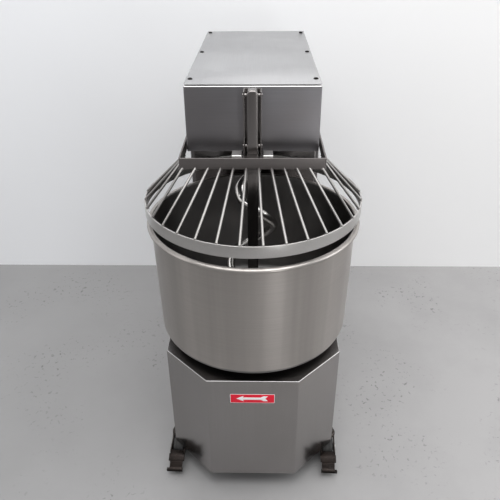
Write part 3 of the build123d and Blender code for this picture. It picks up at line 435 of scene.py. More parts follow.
# painted shade: the column is the casing's steel painted far darker, for the shade under the head
COLUMN_SHADED = steel("column_shaded_steel", (0.16, 0.152, 0.152), 0.16, ALONG_Z, 0.08, (0.2, 0.18, 0.17), 0.3)[0]
BAR = steel("bar_steel", (0.235, 0.22, 0.215), 0.20, ALONG_Z, 0.06, (0.28, 0.26, 0.24), 0.3)[0]
GUARD_BAR = steel("guard_bar_steel", (0.205, 0.19, 0.185), 0.34, ALONG_X, 0.15, (0.16, 0.14, 0.13), 0.6)[0]
GUARD = steel("guard_steel", (0.58, 0.57, 0.555), 0.32, (1, 1, 1), 0.10, (0.40, 0.37, 0.35), 0.25)[0]
ROD = steel("rod_steel", (0.27, 0.262, 0.255), 0.32, (1, 1, 1), 0.08, (0.26, 0.24, 0.22), 0.3)[0]
HOOK = steel("hook_steel", (0.52, 0.505, 0.49), 0.21, (1, 1, 1), 0.05, (0.5, 0.48, 0.46), 0.3)[0]
SHAFT = steel("shaft_steel", (0.60, 0.60, 0.60), 0.20, (1, 1, 1), 0.06)[0]
BOLT = steel("bolt_steel", (0.60, 0.60, 0.60), 0.31, (1, 1, 1), 0.06)[0]
PAINT = cast("frame_paint", (0.10, 0.105, 0.11), 0.5, 0.0, 0.15)
IRON = cast("machine_iron", (0.28, 0.28, 0.29), 0.45)
MOTOR_PAINT = cast("motor_paint", (0.16, 0.24, 0.30), 0.45, 0.0)
DARK_SCREW = cast("dark_screw", (0.018, 0.016, 0.015), 0.5)
ZINC = worn_metal("caster_zinc", (0.05, 0.042, 0.038), (0.26, 0.24, 0.22), 0.36)
PEDAL = worn_metal("pedal_metal", (0.013, 0.010, 0.009), (0.13, 0.11, 0.095), 0.30)
BELT = plastic("belt_rubber", (0.03, 0.03, 0.03), 0.6)
BOX = plastic("box_plastic", (0.5, 0.5, 0.51), 0.5)
BLACK = plastic("panel_plastic", (0.03, 0.03, 0.032), 0.42)
GLAND = plastic("gland_plastic", (0.03, 0.03, 0.03), 0.5)
NYLON = plastic("wheel_plastic", (0.035, 0.033, 0.032), 0.5)
TYRE = plastic("wheel_tyre", (0.02, 0.02, 0.02), 0.68)
GREEN = plastic("start_green", (0.02, 0.35, 0.09), 0.25, 0.4)
RED = plastic("stop_red", (0.55, 0.02, 0.02), 0.25, 0.4)
LABEL = plastic("label_red", (0.86, 0.006, 0.035), 0.6, 0.0, 0.02)
WHITE = plastic("label_white", (1.0, 0.98, 0.99), 0.6, 0.0, 0.02)

for names, material in (
    (("base_deck",), CASING),
    (("head_bottom_plate", "chassis"), PAINT),
    (("bowl_bearing_housing", "hook_bearing_housing", "bowl_pulley"), IRON),
    (("main_pulleys", "hook_pulley", "motor_pulley"), IRON),
    (("bowl_shaft", "main_shaft", "shaft_bearings", "hook_shaft"), SHAFT),
    (("motor",), MOTOR_PAINT),
    (("bowl_drive_belt", "motor_belt", "hook_drive_belt"), BELT),
    (("electrical_box", "guard_switch"), BOX),
    (("bowl_bolts", "front_axle_left", "front_axle_right", "rear_axles"), BOLT),
    (("breaker_bar_pins", "guard_pivot_pins"), BAR),
    (("cable_gland",), GLAND),
    (("control_panel", "timer_knob"), BLACK),
    (("start_button",), GREEN),
    (("stop_button", "emergency_stop"), RED),
    (("caster_plates", "front_fork_left", "front_fork_right", "rear_forks"), ZINC),
    (("brake_pedal_left", "brake_pedal_right"), PEDAL),
    (tuple(n for n in NODES if n.endswith("_wheel")), NYLON),
    (tuple(n for n in NODES if n.endswith("_tyre")), TYRE),
):
    for name in names:
        NODES[name].data.materials.clear()
        NODES[name].data.materials.append(material)


# ---- bowl ----------------------------------------------------------------------------------
def make_bowl():
    wall = 0.003
    bead = 0.0050
    top_r = RIM_R - 0.0095
    bottom_r = RIM_R - 0.015
    floor_z = BOWL_LO.z
    corner = 0.028
    profile = [(0.030, floor_z + wall), (bottom_r - corner, floor_z + wall)]
    profile += arc((bottom_r - corner, floor_z + corner), corner - wall, -90, 0, 12)
    profile += [(top_r - wall, RIM_Z - 0.003)]
    profile += arc((top_r - wall + 0.003, RIM_Z - 0.003), 0.003, 180, 90, 4)
    profile += arc((RIM_R - bead, RIM_Z - bead), bead, 90, -150, 14)
    profile += [(top_r, RIM_Z - 0.012)]
    profile += arc((bottom_r - corner, floor_z + corner), corner, 0, -90, 12)
    profile += [(0.030, floor_z)]
    mesh = lathe("bowl_spun", profile, (0, BOWL_Y), 192)
    piece("bowl_spun", mesh, "bowl", BOWL_STEEL, "bowl_steel", "bowl", sharp=50)


# ---- spiral hook ---------------------------------------------------------------------------
HOOK_Y = (SHAFT_LO.y + SHAFT_HI.y) / 2
HOOK_R = 0.012
HOOK_TOP_Z = SHAFT_LO.z
HOOK_END_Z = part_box("spiral_hook")[0].z + HOOK_R
# The centre line in degrees round the axis: it curls out of the shaft, then falls evenly, and
# swings up and down once on the way.
HOOK_START = 60
HOOK_CURL = 180
HOOK_END = 660
HOOK_CURL_Z = 0.703
HOOK_SWING = 0.016
HOOK_SWING_AT = (215, 515)
HOOK_RADII = ((60, 0.008), (180, 0.036), (270, 0.041), (360, 0.051), (480, 0.052), (660, 0.084))
HOOK_LEAVE = 30  # degrees left out at the start, where the bar comes straight down from the shaft


def hook_radius(angle):
    """The centre line's distance from the hook's axis, straight between the listed points."""
    pairs = list(zip(HOOK_RADII, HOOK_RADII[1:]))
    (start, start_r), (end, end_r) = [pair for pair in pairs if pair[0][0] <= angle][-1]
    return start_r + (end_r - start_r) * (angle - start) / (end - start)


def hook_point(angle):
    """A point on the hook's centre line, at an angle round the hook's axis from +X."""
    if angle < HOOK_CURL:
        curled = (angle - HOOK_START) / (HOOK_CURL - HOOK_START)
        z = HOOK_TOP_Z - (HOOK_TOP_Z - HOOK_CURL_Z) * curled**1.5
    else:
        fallen = (angle - HOOK_CURL) / (HOOK_END - HOOK_CURL)
        z = HOOK_CURL_Z - (HOOK_CURL_Z - HOOK_END_Z) * fallen
    swing_start, swing_end = HOOK_SWING_AT
    if swing_start < angle < swing_end:
        z += HOOK_SWING * sin(radians(360 * (angle - swing_start) / (swing_end - swing_start)))
    radius = hook_radius(angle)
    return Vector((radius * cos(radians(angle)), HOOK_Y + radius * sin(radians(angle)), z))


def make_hook():
    path = [Vector((0, HOOK_Y, HOOK_TOP_Z + HOOK_R))]
    path += [hook_point(angle) for angle in range(HOOK_START + HOOK_LEAVE, HOOK_END + 1, 5)]
    mesh = tube("spiral_hook_bar", path, HOOK_R, 32, round_end=0.006)
    piece("spiral_hook_bar", mesh, "hook", HOOK, "hook_steel", "spiral_hook", sharp=60)


# ---- guard ---------------------------------------------------------------------------------
ROD_R = 0.003
ROD_FIRST_X = 0.0136
ROD_SPACING = 0.0273
ROD_ANGLE_FIRST = 5.4
ROD_ANGLE_STEP = 10.85
RODS_ON_BAR = 6  # each side of the middle
ARM_ROD_YS = (-0.222, -0.200, -0.188)
RING_MIDDLE = 0.0022  # from the ring's outer face to where the rods meet it
WELD_R = 0.0034
RING_THICK = 0.0035
BAR_THICK = 0.004
BAR_HEIGHT = 0.025
PIVOT_Y = 0.055
PIVOT_Z = 0.863
EYE_R = 0.016
TAB_INNER_X = 0.0235
SOFT = 0.0006


def rounded_box_section(inset_low, inset_high, low, high):
    """The closed section of a flat bar with soft edges, as (inset, height)."""
    corners = (
        (inset_low, high, 90), (inset_high, high, 0), (inset_high, low, 270), (inset_low, low, 180),
    )
    section = []
    for inset, z, start in corners:
        x0 = inset + (SOFT if inset == inset_low else -SOFT)
        z0 = z + (SOFT if z == low else -SOFT)
        for k in range(4):
            a = radians(start + 90 - 30 * k)
            section.append((x0 + SOFT * cos(a), z0 + SOFT * sin(a)))
    return section


def make_ring():
    section = rounded_box_section(-RIM_R, RING_THICK - RIM_R, RING_LO.z, RING_HI.z)
    ring = lathe("guard_ring_band", [(-r, z) for r, z in section], (0, BOWL_Y), 192, closed=True)
    piece("guard_ring_band", ring, "guard", GUARD, "guard_steel", "guard_ring", sharp=60)


def make_guard_frame():
    half = GUARD_HI.x
    low = GUARD_LO.z
    high = low + BAR_HEIGHT
    outline = box_points(-half, half, GUARD_LO.y, PIVOT_Y)
    loops = []
    for inset, z in rounded_box_section(0, BAR_THICK, low, high):
        # the rear side is left open: only the front bar and the two arms are kept
        kept = [p for p in outline_loop(outline, inset, 0.006, 8) if p.y < PIVOT_Y - 0.007]
        left = sorted((p for p in kept if p.x < 0), key=lambda p: (-p.y, p.x))
        right = sorted((p for p in kept if p.x > 0), key=lambda p: (p.y, p.x))
        ends = [Vector((side * (half - inset), PIVOT_Y)) for side in (-1, 1)]
        loops.append([Vector((p.x, p.y, z)) for p in ends[:1] + left + right + ends[1:]])
    crosswise = [[loop[k] for loop in loops] for k in range(len(loops[0]))]
    made = [skin("guard_flat_bar", crosswise)]
    for side in (-1, 1):
        eye = [(PIVOT_Y - 0.030, high), (PIVOT_Y - 0.030, low), (PIVOT_Y, low)]
        for a in range(-30, 181, 15):
            eye.append((PIVOT_Y + EYE_R * cos(radians(a)), PIVOT_Z + EYE_R * sin(radians(a))))
        place = facing((half - BAR_THICK if side > 0 else -half, 0, 0), (0, 1, 0), (1, 0, 0))
        made.append(prism("eye", eye, 0, BAR_THICK, 0.0004, 0.0004, 1, place))
    mesh = joined("guard_flat_bar", made)
    piece("guard_flat_bar", mesh, "guard", GUARD_BAR, "guard_steel", "guard_frame", sharp=40)


def make_tabs():
    """Two tabs behind the front bar, bent back over the breaker bar's shoe."""
    lo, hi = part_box("guard_lugs")
    sheet = 0.003
    bend = 0.0025
    outer = arc((lo.y + bend, hi.z - bend), bend, 180, 90, 6)
    inner = [(lo.y + sheet, hi.z - sheet), (lo.y + sheet, lo.z)]
    side_view = [(lo.y, lo.z)] + outer + [(hi.y, hi.z), (hi.y, hi.z - sheet)] + inner
    tabs = []
    for side in (-1, 1):
        start = min(side * TAB_INNER_X, side * hi.x)
        place = facing((start, 0, 0), (0, 1, 0), (1, 0, 0))
        tabs.append(prism("tab", side_view[::-1], 0, hi.x - TAB_INNER_X, 0.0002, 0.0004, 1, place))
    piece("guard_tabs", joined("guard_tabs", tabs), "guard", GUARD, "guard_steel", "guard_lugs")


def make_rods():
    bar_y = GUARD_LO.y + BAR_THICK / 2
    arm_x = GUARD_HI.x - BAR_THICK / 2
    places = [(ROD_FIRST_X + ROD_SPACING * k, bar_y) for k in range(RODS_ON_BAR)]
    places += [(arm_x, y) for y in ARM_ROD_YS]
    reach = RIM_R - RING_MIDDLE
    rods = []
    for k, (x, y) in enumerate(places):
        angle = radians(ROD_ANGLE_FIRST + ROD_ANGLE_STEP * k)
        for side in (-1, 1):
            top = Vector((side * x, y, GUARD_LO.z + 0.002))
            foot = Vector((side * reach * sin(angle), BOWL_Y - reach * cos(angle), RING_HI.z))
            rods.append(tube("rod", [top, top.lerp(foot, 0.5), foot], ROD_R, 20, round_end=0.0005))
            back = (foot - top).normalized() * 0.003 + Vector((0, 0, 0.0022))
            rods.append(weld(foot - back, WELD_R, k + 11 * side))
            rods.append(weld(top - Vector((0, 0, 0.002)), WELD_R, k + 31 * side))
    mesh = joined("guard_rods_welded", rods)
    piece("guard_rods_welded", mesh, "guard", ROD, "guard_steel", "guard_rods", sharp=50)


def weld(centre, size, seed):
    """A small uneven bead of weld."""
    loops = []
    for i in range(1, 8):
        a = pi * i / 8
        reach = size * (1 + 0.12 * sin(seed * 2.3 + i * 1.7)) * sin(a)
        loops.append([
            centre + Vector((
                reach * cos(2 * pi * k / 12) * (1 + 0.1 * sin(seed + 3 * k)),
                reach * sin(2 * pi * k / 12) * (1 + 0.1 * cos(seed + 2 * k)),
                size * 0.75 * cos(a),
            ))
            for k in range(12)
        ])
    return skin("weld", loops)


# ---- head ----------------------------------------------------------------------------------
def folded_section(z0, z1, lip):
    """A sheet wall with an inward lip at its top, as (inset, height)."""
    fold = 0.0022
    soft = 0.0004
    under = z1 - SHEET
    outer = [(0, z0)]
    for k in range(4):
        a = radians(30 * k)
        outer.append((fold * (1 - cos(a)), z1 - fold + fold * sin(a)))
    return outer + [(lip, z1), (lip, under), (SHEET + soft, under), (SHEET, under - soft), (SHEET, z0)]


def make_head():
    outline = box_points(HEAD_LO.x, HEAD_HI.x, HEAD_LO.y, HEAD_HI.y)
    shell = swept_wall("head_casing", outline, folded_section(HEAD_LO.z, HEAD_HI.z, 0.016), 0.003)
    piece("head_casing", shell, "root", HEAD, "casing_steel", "head_shell")
    outline = box_points(COVER_LO.x, COVER_HI.x, COVER_LO.y, COVER_HI.y)
    z0 = COVER_LO.z
    z1 = COVER_HI.z
    section = [(0.0040, z0), (0.0006, z0 + 0.0012), (0, z0 + 0.0016), (0, z1 - 0.0002), (0.0004, z1)]
    plate = skin("head_cover_plate", flat_loops(outline, section, 0.003, 5))
    piece("head_cover_plate", plate, "root", COVER, "cover_steel", "top_cover")


def hex_radius(across, angle):
    """Radius of a hexagon of that width across flats, at an angle."""
    sector = (angle + pi / 6) % (pi / 3) - pi / 6
    return across / 2 / cos(sector)


def button_head(r=0.0055, height=0.003, steps=48):
    """A button-head socket screw, made about +Z from z = 0."""
    rim = 0.0006
    profile = [(r - 0.0003, 0), (r, 0.0003)]
    for a in (0, 15, 30, 45, 60):
        profile.append((r * cos(radians(a)) ** 0.6, rim + (height - rim) * sin(radians(a))))
    loops = [circle(rr, z, steps=steps) for rr, z in profile]
    for shrink, z in ((1.0, height), (1.0, height - 0.0002), (0.97, height - 0.0018)):
        loops.append([
            Vector((
                hex_radius(0.004 * shrink, 2 * pi * k / steps) * cos(2 * pi * k / steps),
                hex_radius(0.004 * shrink, 2 * pi * k / steps) * sin(2 * pi * k / steps),
                z,
            ))
            for k in range(steps)
        ])
    return skin("screw", loops)


TOP_SCREW_X = 0.137
TOP_SCREW_YS = (-0.152, 0.130, 0.411)
REAR_SCREW_X = 0.157
REAR_SCREW_ZS = (0.090, 0.450, 0.810)


def make_screws():
    screws = []
    for x in (-TOP_SCREW_X, TOP_SCREW_X):
        for y in TOP_SCREW_YS:
            screws.append(turned(button_head(), (x, y, COVER_HI.z), (0, 0, 1)))
    for x in (-REAR_SCREW_X, REAR_SCREW_X):
        for z in REAR_SCREW_ZS:
            screws.append(turned(button_head(), (x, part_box("rear_cover")[1].y, z), (0, 1, 0)))
    mesh = joined("cover_screw_heads", screws)
    piece("cover_screw_heads", mesh, "root", DARK_SCREW, "dark_screw", "cover_screws")


# ---- breaker bar ---------------------------------------------------------------------------
CHANNEL_X = 0.0195
CHANNEL_Y = (-0.232, -0.200)
CHANNEL_SHEET = 0.003
SHOE_TOP_Z = 0.853
SHOE_SLOT_X = 0.0128  # half the width of the slot that the bar stands in
SHOE_SLOT_Y = -0.2363


def make_breaker_bar():
    lo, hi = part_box("breaker_bar")
    outline = [(lo.x, lo.z), (hi.x, lo.z), (hi.x, hi.z), (lo.x, hi.z)]
    place = facing((0, hi.y, 0), (1, 0, 0), (0, -1, 0))
    bar = prism("breaker_bar_steel", outline, 0, hi.y - lo.y, 0.0105, 0.004, 10, place, 5)
    piece("breaker_bar_steel", bar, "root", BAR, "bar_steel", "breaker_bar")

    lo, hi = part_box("breaker_channel")
    front, back = CHANNEL_Y
    web_front = back - CHANNEL_SHEET
    section = [
        (-CHANNEL_X, front), (-CHANNEL_X + CHANNEL_SHEET, front), (-CHANNEL_X + CHANNEL_SHEET, web_front),
        (CHANNEL_X - CHANNEL_SHEET, web_front), (CHANNEL_X - CHANNEL_SHEET, front), (CHANNEL_X, front),
        (CHANNEL_X, back), (-CHANNEL_X, back),
    ]
    shoe = [
        (lo.x, lo.y), (hi.x, lo.y), (hi.x, back), (SHOE_SLOT_X, back), (SHOE_SLOT_X, SHOE_SLOT_Y),
        (-SHOE_SLOT_X, SHOE_SLOT_Y), (-SHOE_SLOT_X, back), (lo.x, back),
    ]
    made = [
        prism("channel", section, lo.z + 0.001, hi.z, 0.0008, 0.0006),
        prism("shoe", shoe, lo.z, SHOE_TOP_Z, 0.0012, 0.0008),
    ]
    mesh = joined("breaker_channel_plates", made)
    piece("breaker_channel_plates", mesh, "root", BAR, "bar_steel", "breaker_channel")


# ---- cabinet and column --------------------------------------------------------------------
NOTCH_X = 0.205
NOTCH_Y = (-0.320, -0.273)
NOTCH_Z = 0.071
PANEL_X = 0.1075  # half the width of the front panel between the chamfers
SHOULDER_Y = -0.050


def cabinet_outline():
    """The cabinet from above.  Points at each end of the notch let its corners stand square."""
    half = BASE_HI.x
    column = COLUMN_HI.x
    front = BASE_LO.y
    back = BASE_HI.y
    cut = front + half - PANEL_X
    narrow = SHOULDER_Y + half - column
    near, far = NOTCH_Y
    step = 0.0001
    return [
        (-PANEL_X, front), (PANEL_X, front), (half, cut), (half, near), (half, near + step),
        (half, far - step), (half, far), (half, SHOULDER_Y), (column, narrow), (column, back),
        (-column, back), (-column, narrow), (-half, SHOULDER_Y), (-half, far), (-half, far - step),
        (-half, near + step), (-half, near), (-half, cut),
    ]


def make_cabinet():
    """The folded cabinet, its lower edge notched each side over the casters."""
    z0 = BASE_LO.z
    z1 = BASE_HI.z
    fold = 0.0018
    section = [(0, z0), (0, z1 - fold)] + [
        (fold * (1 - cos(radians(a))), z1 - fold + fold * sin(radians(a))) for a in (30, 60, 90)
    ]
    section += [(SHEET, z1), (SHEET, z0)]
    loops = flat_loops(cabinet_outline(), section, 0.003, 6)
    for loop in loops:
        for point in loop:
            in_notch = NOTCH_Y[0] < point.y - 0.00005 and point.y + 0.00005 < NOTCH_Y[1]
            if abs(point.x) > NOTCH_X and point.z < NOTCH_Z and in_notch:
                point.z = NOTCH_Z
    shell = skin("cabinet_shell", loops, closed=True)
    piece("cabinet_shell", shell, "root", CABINET, "casing_steel", "base_shell")


def make_column():
    outline = box_points(COLUMN_LO.x, COLUMN_HI.x, COLUMN_LO.y, COLUMN_HI.y)
    section = folded_section(COLUMN_LO.z, COLUMN_HI.z, 0.045)
    shell = swept_wall("column_casing", outline, section, 0.012)
    piece("column_casing", shell, "root", COLUMN_SHADED, "casing_steel", "column_shell")


LOUVRE_ROWS = 9
LOUVRE_FIRST_Z = 0.466
LOUVRE_STEP = 0.016
LOUVRE_HALF = 0.003


def make_rear_cover():
    """The screwed rear panel with two columns of louvre slots, cut out of a grid of rectangles."""
    lo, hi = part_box("rear_cover")
    xs = [lo.x, -0.100, -0.097, -0.013, -0.010, 0.010, 0.013, 0.097, 0.100, hi.x]
    zs = [lo.z]
    for row in range(LOUVRE_ROWS):
        middle = LOUVRE_FIRST_Z + LOUVRE_STEP * row
        zs += [middle - LOUVRE_HALF, middle + LOUVRE_HALF]
    zs.append(hi.z)
    open_columns = (1, 2, 3, 5, 6, 7)
    points = []
    for y in (hi.y, lo.y):
        points += [(x, y, z) for z in zs for x in xs]
    wide = len(xs)
    layer = wide * len(zs)
    faces = []
    for j in range(len(zs) - 1):
        for i in range(wide - 1):
            corners = [j * wide + i, j * wide + i + 1, (j + 1) * wide + i + 1, (j + 1) * wide + i]
            if j % 2 == 1 and i in open_columns:
                continue
            faces.append(tuple(corners))
            faces.append(tuple(layer + c for c in corners[::-1]))
            around = ((0, i, j - 1), (1, i + 1, j), (2, i, j + 1), (3, i - 1, j))
            for side, column, row in around:
                outside = not (0 <= column < wide - 1 and 0 <= row < len(zs) - 1)
                if outside or (row % 2 == 1 and column in open_columns):
                    a = corners[side]
                    b = corners[(side + 1) % 4]
                    faces.append((a, layer + a, layer + b, b))
    mesh = bpy.data.meshes.new("rear_louvre_panel")
    mesh.from_pydata(points, [], faces)
    piece("rear_louvre_panel", mesh, "root", CASING, "casing_steel", "rear_cover")


# ---- direction label -----------------------------------------------------------------------
def make_label():
    lo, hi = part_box("direction_label")
    place = facing((0, hi.y, 0), (1, 0, 0), (0, -1, 0))
    film = box_points(lo.x, hi.x, lo.z, hi.z)
    backing = prism("label_backing", film, 0, 0.0003, 0.002, 0.0001, 5, place)
    piece("label_backing", backing, "root", WHITE, "label_red", "direction_label")
    rim = 0.0009
    inner = box_points(lo.x + rim, hi.x - rim, lo.z + rim, hi.z - rim)
    face = prism("label_face", inner, 0.0003, 0.0004, 0.0012, 0.00005, 5, place)
    piece("label_face", face, "root", LABEL, "label_red")
    z = (lo.z + hi.z) / 2
    length = hi.x - lo.x
    tip = lo.x + 0.135 * length
    neck = lo.x + 0.31 * length
    tail = lo.x + 0.69 * length
    end = hi.x - 0.15 * length
    head = 0.0088
    stem = 0.0036
    fin = 0.0078
    barb = neck - 0.003
    flare = tail + 0.006
    arrow = [
        (tip, z), (neck, z - head), (barb, z - stem), (tail, z - stem), (flare, z - fin), (end, z - fin),
        (end - 0.006, z), (end, z + fin), (flare, z + fin), (tail, z + stem), (barb, z + stem),
        (neck, z + head),
    ]
    mark = prism("label_arrow", arrow, 0.0004, 0.0005, 0.0004, 0.00005, 2, place)
    piece("label_arrow", mark, "root", WHITE, "label_red")


# ---- marks on the controls -----------------------------------------------------------------
MARK = 0.0002


def make_control_marks():
    """A scale of ticks round the timer knob, and the knob's own pointer line."""
    lo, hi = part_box("timer_knob")
    y = (lo.y + hi.y) / 2
    z = (lo.z + hi.z) / 2
    panel_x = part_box("control_panel")[0].x + 0.0025
    ticks = []
    for k in range(11):
        angle = radians(-60 + 30 * k)
        reach = 0.0045 if k % 5 == 0 else 0.003
        out = Vector((0, cos(angle), sin(angle)))
        place = facing(Vector((panel_x, y, z)) + out * 0.021, out, (1, 0, 0))
        line = box_points(0, reach, -0.0004, 0.0004)
        ticks.append(prism("tick", line, 0, MARK, 0.0001, 0.00005, 2, place))
    piece("timer_scale", joined("timer_scale", ticks), "root", WHITE, "panel_plastic")
    place = facing((hi.x, y, z), (0, 0, 1), (1, 0, 0))
    line = box_points(0.002, 0.0145, -0.0007, 0.0007)
    pointer = prism("knob_pointer", line, 0, MARK, 0.0001, 0.00005, 2, place)
    piece("knob_pointer", pointer, "timer_knob", WHITE, "panel_plastic")
    for name, paint in (("start_button", "start_green"), ("stop_button", "stop_red")):
        lo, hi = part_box(name)
        centre = Vector((hi.x, (lo.y + hi.y) / 2, (lo.z + hi.z) / 2))
        if name == "start_button":
            points = box_points(-0.0008, 0.0008, -0.004, 0.004)
            place = facing(centre, (0, 1, 0), (1, 0, 0))
            mark = prism("mark", points, 0, MARK, 0.0001, 0.00005, 2, place)
        else:
            band = [(0.0030, 0), (0.0042, 0), (0.0042, MARK), (0.0030, MARK)]
            mark = turned(lathe("mark", band, steps=48, closed=True), centre, (1, 0, 0))
        piece(name + "_mark", mark, name, WHITE, paint)


# ---- casters -------------------------------------------------------------------------------
CASTER_TURN = radians(-2)
TRAIL = 0.024
WHEEL_R = 0.025
WHEEL_HALF = 0.014
HUB_R = 0.019
LEG_IN = 0.017
LEG = 0.003
FORK_SIDE = [
    (-0.009, 0.056), (-0.009, 0.049), (-0.014, 0.043), (0.017, 0.016), (0.031, 0.016), (0.057, 0.028),
    (0.062, 0.035), (0.057, 0.042), (0.024, 0.045), (0.009, 0.049), (0.009, 0.056),
]
# The pedal's plates: half width or (inner, outer), then the side view, along the trail and up.
PEDAL_PLATES = (
    ((-0.0164, 0.0164), [(0.055, 0.040), (0.057, 0.0305), (0.067, 0.035), (0.067, 0.040)]),
    ((-0.021, 0.021), [(0.064, 0.040), (0.064, 0.035), (0.080, 0.027), (0.082, 0.031), (0.069, 0.039)]),
    (
        (-0.017, 0.017),
        [(0.080, 0.032), (0.079, 0.026), (0.089, 0.018), (0.104, 0.015), (0.104, 0.020), (0.091, 0.024)],
    ),
    ((-0.019, 0.023), [(0.096, 0.0215), (0.096, 0.015), (0.104, 0.014), (0.104, 0.0205)]),
    ((-0.019, 0.023), [(0.1016, 0.0230), (0.1016, 0.016), (0.104, 0.016), (0.104, 0.0225)]),
)
TREAD_RIBS = ((0.0822, 0.0308), (0.0852, 0.0286), (0.0882, 0.0264), (0.0912, 0.0246), (0.0942, 0.0236))


def wheel_mesh(name):
    """A moulded hub: a boss on each side of a dished web, inside a rim."""
    half = [(0.00405, 0.0167), (0.0085, 0.0167), (0.0092, 0.0160), (0.0100, 0.0092), (0.0158, 0.0092)]
    half += [(0.0166, 0.0134), (0.0172, WHEEL_HALF), (HUB_R - 0.0002, WHEEL_HALF)]
    return lathe(name, half + [(r, -z) for r, z in half[::-1]], steps=64, closed=True)


def tyre_mesh(name):
    """A rubber tyre with rounded shoulders and two shallow grooves."""
    shoulder = 0.0035
    corner = (WHEEL_R - shoulder, WHEEL_HALF - shoulder)
    half = [(HUB_R, WHEEL_HALF)] + arc(corner, shoulder, 90, 0, 6)
    half += [(WHEEL_R, 0.0062), (WHEEL_R - 0.0009, 0.0058), (WHEEL_R - 0.0009, 0.0044), (WHEEL_R, 0.0040)]
    return lathe(name, half + [(r, -z) for r, z in half[::-1]], steps=72, closed=True)


def make_wheels():
    for end, heading in (("front", CASTER_TURN), ("rear", 0.0)):
        for side in ("left", "right"):
            lo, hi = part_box(f"{end}_{side}_tyre")
            across = (-cos(heading), -sin(heading), 0)
            centre = (lo + hi) / 2
            body = f"{end}_wheel_{side}"
            wheel = turned(wheel_mesh(f"{end}_{side}_hub"), centre, across)
            piece(f"{end}_{side}_hub", wheel, body, NYLON, "wheel_plastic", f"{end}_{side}_wheel")
            tyre = turned(tyre_mesh(f"{end}_{side}_tread"), centre, across)
            piece(f"{end}_{side}_tread", tyre, body, TYRE, "wheel_tyre", f"{end}_{side}_tyre", sharp=50)


def make_forks_and_pedals():
    for side in ("left", "right"):
        lo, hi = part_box(f"front_{side}_tyre")
        trail = Vector((sin(CASTER_TURN), -cos(CASTER_TURN), 0))
        across = trail.cross(Vector((0, 0, 1)))
        axis = (lo + hi) / 2 - trail * TRAIL
        axis.z = 0
        made = [lathe("dome", [
            (0.00505, 0.053), (0.0210, 0.053), (0.0215, 0.0535), (0.0215, 0.056),
            *arc((0.0155, 0.056), 0.006, 0, 90, 8), (0.00505, 0.062),
        ], (axis.x, axis.y), 64, closed=True)]
        for start in (LEG_IN, -LEG_IN - LEG):
            place = facing(axis + across * start, trail, across)
            made.append(prism("leg", FORK_SIDE, 0, LEG, 0.0025, 0.0006, 4, place))
        name = f"front_fork_{side}_pressed"
        piece(name, joined(name, made), f"front_swivel_{side}", ZINC, "caster_zinc", f"front_fork_{side}")

        outer = 1 if side == "left" else -1
        made = []
        for (inner_edge, outer_edge), side_view in PEDAL_PLATES:
            start, end = sorted((outer * inner_edge, outer * outer_edge))
            place = facing(axis + across * start, trail, across)
            made.append(prism("plate", side_view, 0, end - start, 0.0012, 0.0007, 3, place))
        for u, z in TREAD_RIBS:
            place = facing(axis - across * 0.0155, trail, across)
            rib = [
                (u - 0.0008, z - 0.001), (u + 0.0008, z - 0.001), (u + 0.0006, z + 0.0008),
                (u - 0.0006, z + 0.001),
            ]
            made.append(prism("rib", rib, 0, 0.031, 0.0003, 0.0003, 2, place))
        middle = axis + trail * 0.055 + Vector((0, 0, 0.035))
        eye = [(0.0001, -0.0164), (0.005, -0.0164), (0.005, 0.0164), (0.0001, 0.0164)]
        made.append(turned(lathe("eye", eye, steps=32), middle, across))
        pivot = [(0.0001, -0.020), (0.0025, -0.020), (0.0025, 0.020), (0.0001, 0.020)]
        made.append(turned(lathe("pivot", pivot, steps=24), middle, across))
        name = f"brake_pedal_{side}_pressed"
        piece(name, joined(name, made), f"brake_pedal_{side}", PEDAL, "pedal_metal", f"brake_pedal_{side}")


make_bowl()
make_hook()
make_ring()
make_guard_frame()
make_tabs()
make_rods()
make_head()
make_screws()
make_breaker_bar()
make_cabinet()
make_column()
make_rear_cover()
make_label()
make_control_marks()
make_wheels()
make_forks_and_pedals()


# ---- room, light and camera ----------------------------------------------------------------
def room_material(name, left, right, rough, patch, speck):
    """A plain, patchy surface, painted lighter towards its right colour across the room as painted light.
    Its back is clear, so that the wall doesn't hide the machine from behind."""
    material, tree, shader = new_material(name)
    cloud = noise(tree, coordinates(tree), 2.2, 7, 0.62)
    fine = noise(tree, coordinates(tree), 60, 3, 0.6)
    split = tree.nodes.new("ShaderNodeSeparateXYZ")
    tree.links.new(coordinates(tree), split.inputs[0])
    # painted light: the colour runs across the room from the left colour to the lighter right colour
    tone = mixed(tree, span(tree, split.outputs[0], 0, 1, -0.7, 0.7), left, right)
    marked = mixed(tree, span(tree, cloud, patch, 0, 0.35, 0.6), tone, tuple(c * 0.7 for c in left))
    specks = noise(tree, coordinates(tree), 75, 2, 0.5, 0.5)
    where = span(tree, noise(tree, coordinates(tree), 3.5, 3, 0.5), 0, 1, 0.48, 0.62)
    spotted = sums(tree, "MULTIPLY", span(tree, specks, 0, speck, 0.62, 0.70), where)
    marked = mixed(tree, spotted, marked, tuple(c * 0.25 for c in left))
    tree.links.new(marked, shader.inputs["Base Color"])
    tree.links.new(span(tree, fine, rough - 0.05, rough + 0.05), shader.inputs["Roughness"])
    side = tree.nodes.new("ShaderNodeNewGeometry")
    clear = tree.nodes.new("ShaderNodeBsdfTransparent")
    either = tree.nodes.new("ShaderNodeMixShader")
    tree.links.new(side.outputs["Backfacing"], either.inputs[0])
    tree.links.new(shader.outputs[0], either.inputs[1])
    tree.links.new(clear.outputs[0], either.inputs[2])
    tree.links.new(either.outputs[0], tree.nodes["Material Output"].inputs["Surface"])
    return material


def flat(name, corners, material):
    mesh = bpy.data.meshes.new(name)
    mesh.from_pydata(corners, [], [(0, 1, 2, 3)])
    obj = bpy.data.objects.new(name, mesh)
    mesh.materials.append(material)
    bpy.context.scene.collection.objects.link(obj)


